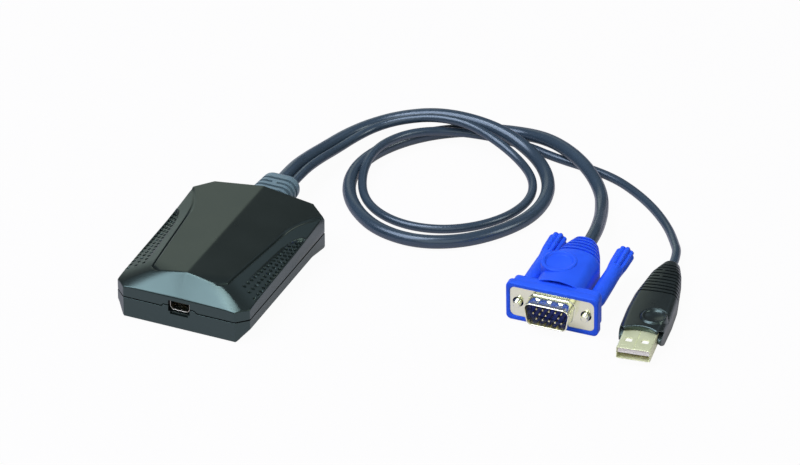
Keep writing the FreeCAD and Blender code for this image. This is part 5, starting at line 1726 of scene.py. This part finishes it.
    def draft_thread(self, shift: Spot) -> MeshDraft:
        """Sweep the screw; its thread is a cosine that climbs one pitch a turn.

        Args:
            shift: Place of its axis in x and z.

        Returns:
            The draft.
        """
        draft = MeshDraft(self.pose)
        ring = Ring.circle(self.thread_radius, 40)
        turn = ring.angles() / (2.0 * math.pi)
        tip = [-1.9, -2.0, -2.1, -2.2]
        y = np.concatenate([np.linspace(12.0, 4.0, 5), np.linspace(3.8, -1.8, 90), tip])[:, None]
        wave = 0.5 + 0.5 * np.cos(2.0 * math.pi * (y / self.thread_pitch - turn))
        taper = self.thread_taper * (1.0 - smooth_step(*self.thread_tip, y))
        threaded = 1.0 - smooth_step(*self.thread_ends, y)
        draft.tube(ring.loft(y[:, 0], self.thread_depth * wave * threaded + taper, shift))
        return draft


@dataclass
class SerialPlug:
    """Charcoal plug with a flat metal shell."""

    pose: Pose = Pose((151.7, 7.2, 4.2), 8.3, 0.0)
    shell_half: Spot = (6.0, 2.25)  # half width and half height of the shell
    shell_corner: float = 0.5  # radius of its folds
    sheet: float = 0.3  # thickness of its sheet
    seam_half: float = 0.06  # half width of the seam on its top
    seam_depth: float = 0.12
    window_x: float = 2.9  # distance of the windows from the middle
    window_half: float = 1.3
    window_y: Spot = (4.4, 6.8)  # stations of a window's front and rear edges
    lip_half: Spot = (7.3, 4.2)  # half width and half height of the hood's front edge
    corners: Spot = (2.4, 1.3)  # corner radius of the hood's top and of its bottom
    lip_top: Point = (11.7, 1.5, 5.8)  # station of the upper lip, its fall and the half width of that
    lip_low: Point = (12.5, 3.0, 6.0)  # station of the lower lip, its rise and the half width of that
    ear_join: Spot = (5.6, 6.6)  # places across which the lips turn into the ears
    lip_round: Spot = (0.6, 0.5)  # length and fall of the rounded front edge
    mouth: Point = (6.1, 2.35, 0.6)  # half width, half height and corner radius of the opening
    mouth_start: float = 0.35  # how far the opening starts behind the front edge
    mouth_end: float = 17.0  # station of the opening's end
    even: float = 18.0  # station where the rows become straight
    tail: float = 57.2  # station where the tail's end begins to round
    tail_round: Spot = (1.3, 0.8)  # length and fall of that rounding
    crown: float = 0.5
    least_side: float = 0.2  # least straight height of a side
    top_slope: float = 0.2  # least upward slope of what counts as the top
    ribs: Grooves = Grooves(35.0, 2.1, 10, 0.34, 0.08)  # places of the rib grooves
    rib_depth: float = 0.55
    bridged: tuple[int, ...] = (5, 7)  # numbers of the grooves that have a bridge
    bridge: Spot = (-0.9, 0.5)  # middle and half width of the bridge
    bridge_soft: float = 0.15  # width of its eased edges
    boss: Spot = (2.9, 19.0)  # centre of the thumb ring, across and along
    boss_radius: float = 4.7
    boss_top: float = 4.5
    dish: float = 3.7  # radius of the dish in it
    dish_depth: float = 0.8
    dish_power: float = 0.8  # power of the dish's curve
    boss_wall: Spot = (0.35, 0.1)  # room inside and outside the ring's edge over which it rises
    ridge: Point = (0.3, 0.4, 0.4)  # the ridge's height, half width and distance from the dish
    crease: Point = (0.22, 0.16, 0.25)  # the crease's depth, half width and distance from the ring

    def build_shell(self) -> bpy.types.Object:
        """Make the folded metal shell with a seam and two square windows on top and two below.

        Returns:
            The shell piece.
        """
        draft = MeshDraft(self.pose)
        ring = Ring.box(*self.shell_half, self.shell_corner, 6, (4, 109, 4, 109))
        near, far = self.window_y
        outer = [18.7, 12.0, 9.0, far, near, 2.0, 0.25, 0.1, 0.02, 0.0]
        inner = [0.0, 0.02, 0.1, near, far, 18.5]
        y = np.array(outer + inner)
        rows = np.concatenate([np.zeros(7), [0.02, 0.07, 0.13], [0.2, 0.26], np.full(4, self.sheet)])
        inset = np.repeat(rows[:, None], len(ring.normals), axis=1)
        x = ring.points()[:, 0]
        seam = (ring.normals[:, 1] > UPRIGHT) & (np.abs(x) < self.seam_half)
        inset[: len(outer) - 1, seam] += self.seam_depth
        flat = np.abs(ring.normals[:, 1]) > UPRIGHT
        middle = 0.5 * (x + np.roll(x, -1))
        window = np.abs(np.abs(middle) - self.window_x) < self.window_half
        skip = np.zeros((len(y) - 1, len(x)), bool)
        skip[[outer.index(far), len(outer) + inner.index(near)]] = flat & np.roll(flat, -1) & window
        draft.tube(ring.loft(y, inset), skip=skip)
        w = self.window_half
        edge_x, edge_y = np.array([-w, w, w, -w]), np.array([near, near, far, far])
        for sx, sz in SIGNS:
            level = self.shell_half[1] * sz
            through = np.array([[level], [level - self.sheet * sz]])
            draft.grid(stack(edge_x + self.window_x * sx, edge_y, through), wrap=True)
        return draft.build("serial_front", Finishes.TIN, "serial_shell", crease=35.0)

    def front_line(self, x: Array, z: Array) -> Array:
        """Station of the hood's front edge: an arched lip on top, a round ear at each side.

        Args:
            x: Across the plug, on the front section.
            z: Height on the front section.

        Returns:
            Stations along the plug.
        """
        (top, top_fall, top_half), (low, low_rise, low_half) = self.lip_top, self.lip_low
        arch, scoop = top - top_fall * (x / top_half) ** 2, low + low_rise * (x / low_half) ** 2
        lip = np.where(z > 0.0, arch, scoop)
        heights = [-4.2, -3.6, -2.8, -1.8, -0.8, 0.2, 1.0, 1.8, 2.5, 3.2, 4.2]
        ear = np.interp(z, heights, [17.4, 14.4, 12.0, 10.3, 9.5, 9.3, 9.9, 11.4, 13.0, 12.4, 10.4])
        share = smooth_step(*self.ear_join, np.abs(x))
        return lip * (1.0 - share) + ear * share

    def hood_stations(self, front: Array) -> Array:
        """Stations of the hood's rows: they straighten behind the lip, then mark each rib groove.

        Args:
            front: Stations of the front edge, as one row.

        Returns:
            Rows by samples.
        """
        t = np.concatenate([[0.0, 0.012, 0.03, 0.055], np.linspace(0.08, 1.0, 44)])[:, None]
        tail = self.tail + self.tail_round[0] * np.sin(quarter_turn(9))
        plain = [np.linspace(self.even + 0.15, 25.0, 46), np.linspace(25.5, 57.0, 50), tail]
        after = np.unique(np.round(np.concatenate(plain + [self.ribs.stations()]), 4))[:, None]
        return np.concatenate([front + (self.even - front) * t, np.repeat(after, front.shape[1], axis=1)])

    def build_hood(self) -> bpy.types.Object:
        """Make the hood: arched lip with side ears, a raised thumb ring and a ribbed neck.

        Returns:
            The hood piece.
        """
        box = SoftBox(arc=18, side=(30, 110, 30, 40))
        corner = np.where(box.corner[:, 1] > 0.0, *self.corners)
        front = self.front_line(*box.points(*np.reshape(self.lip_half, (2, 1, 1)), corner))
        y = self.hood_stations(front)
        w = eased(y, [9.0, 11.0, 14.0, 24.0, 34.0, 50.0, 58.5], [7.3, 7.7, 7.9, 8.1, 7.7, 5.4, 2.9])
        h = eased(y, [9.0, 12.2, 24.0, 34.0, 50.0, 58.5], [4.2, 4.2, 4.2, 4.15, 3.7, 2.7])
        lip = np.clip(1.0 - (y - front) / self.lip_round[0], 0.0, 1.0)
        end = np.clip((y - self.tail) / self.tail_round[0], 0.0, 1.0)
        tuck = self.lip_round[1] * rounding(lip) + self.tail_round[1] * rounding(end)
        x, z = box.points(w - tuck, h - tuck, np.minimum(corner, h - tuck - self.least_side))
        z = z + np.where(z > 0.0, self.crown * (0.5 - (x / w) ** 2) * z / h, 0.0)
        x, z = box.sink(x, z, self.rib_depths(x, y))
        on_top = box.normal[:, 1] > self.top_slope
        outer = stack(x, y, np.where(on_top, self.ring_heights(x, y, z), z))
        inner_x, inner_z = box.points(*self.mouth)
        inner_y = np.concatenate([np.full_like(front, self.mouth_end), front + self.mouth_start])
        draft = MeshDraft(self.pose)
        draft.tube(np.concatenate([stack(inner_x, inner_y, inner_z), outer]))
        return draft.build("serial_hood_skin", Finishes.HOOD, "serial_hood", crease=38.0)

    def rib_depths(self, x: Array, y: Array) -> Array:
        """Depth of the rib grooves; some of them are bridged near the middle.

        Args:
            x: Across the plug.
            y: Stations.

        Returns:
            Depths.
        """
        depth = np.zeros_like(x)
        place, half = self.bridge
        for i in range(self.ribs.count):
            cut = self.ribs.share(y, i)
            if i in self.bridged:
                cut = cut * smooth_step(half, half + self.bridge_soft, np.abs(x - place))
            depth = np.maximum(depth, self.rib_depth * cut)
        return depth

    def ring_heights(self, x: Array, y: Array, z: Array) -> Array:
        """Heights of the top with a round ring raised out of it, dished inside and creased round it.

        Args:
            x: Across the plug.
            y: Stations.
            z: Heights of the plain top.

        Returns:
            Heights.
        """
        reach = np.hypot(x - self.boss[0], y - self.boss[1])
        inside, outside = self.boss_wall
        lift = 1.0 - smooth_step(self.boss_radius - inside, self.boss_radius + outside, reach)
        raised = z + (self.boss_top - z) * lift
        ridge = self.ridge[0] * bell(reach - self.dish - self.ridge[2], self.ridge[1])
        bowl = self.dish_depth * np.clip(1.0 - (reach / self.dish) ** 2, 0.0, None) ** self.dish_power
        crease = self.crease[0] * bell(reach - self.boss_radius - self.crease[2], self.crease[1])
        return raised + ridge - bowl - crease


def dress_cad_nodes() -> None:
    """Give a real material to each CAD node that stays in sight."""
    plan = {
        "circuit_board": Finishes.BOARD,
        "board_chips": Finishes.CHIP,
        "cord_headers": Finishes.HEADER,
        "case_screws": Finishes.SCREW,
        "socket_tongue": Finishes.SOCKET,
        "socket_contacts": Finishes.GOLD,
        "serial_tongue": Finishes.TONGUE,
        "serial_contacts": Finishes.GOLD,
    }
    for node, finish in plan.items():
        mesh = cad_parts[node].data
        mesh.materials.clear()
        mesh.materials.append(finish.make())
        log.info("%s: %s", node, finish.name)


def main() -> None:
    """Build the camera, the cords, every piece and the light."""
    logging.basicConfig(level=logging.INFO, format="%(message)s")
    studio = Studio()
    studio.set_camera()
    thick, thin = video_cord(), serial_cord()
    thick_piece, thin_piece = thick.build(), thin.build()
    case = Case(CaseShape())
    case.build_cover()
    case.build_base()
    Socket().build()
    boot = Boot().build()
    video = VideoPlug()
    video_set = [video.build_hood(), video.build_shell()] + video.build_contacts()
    video_set += video.build_screw(-1) + video.build_screw(1)
    serial = SerialPlug()
    serial_set = [serial.build_shell(), serial.build_hood(),
                  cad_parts["serial_tongue"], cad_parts["serial_contacts"]]
    dress_cad_nodes()
    thick.declare(thick_piece, video_set + [boot])
    thin.declare(thin_piece, serial_set)
    studio.set_light()


if __name__ == "__main__":
    main()
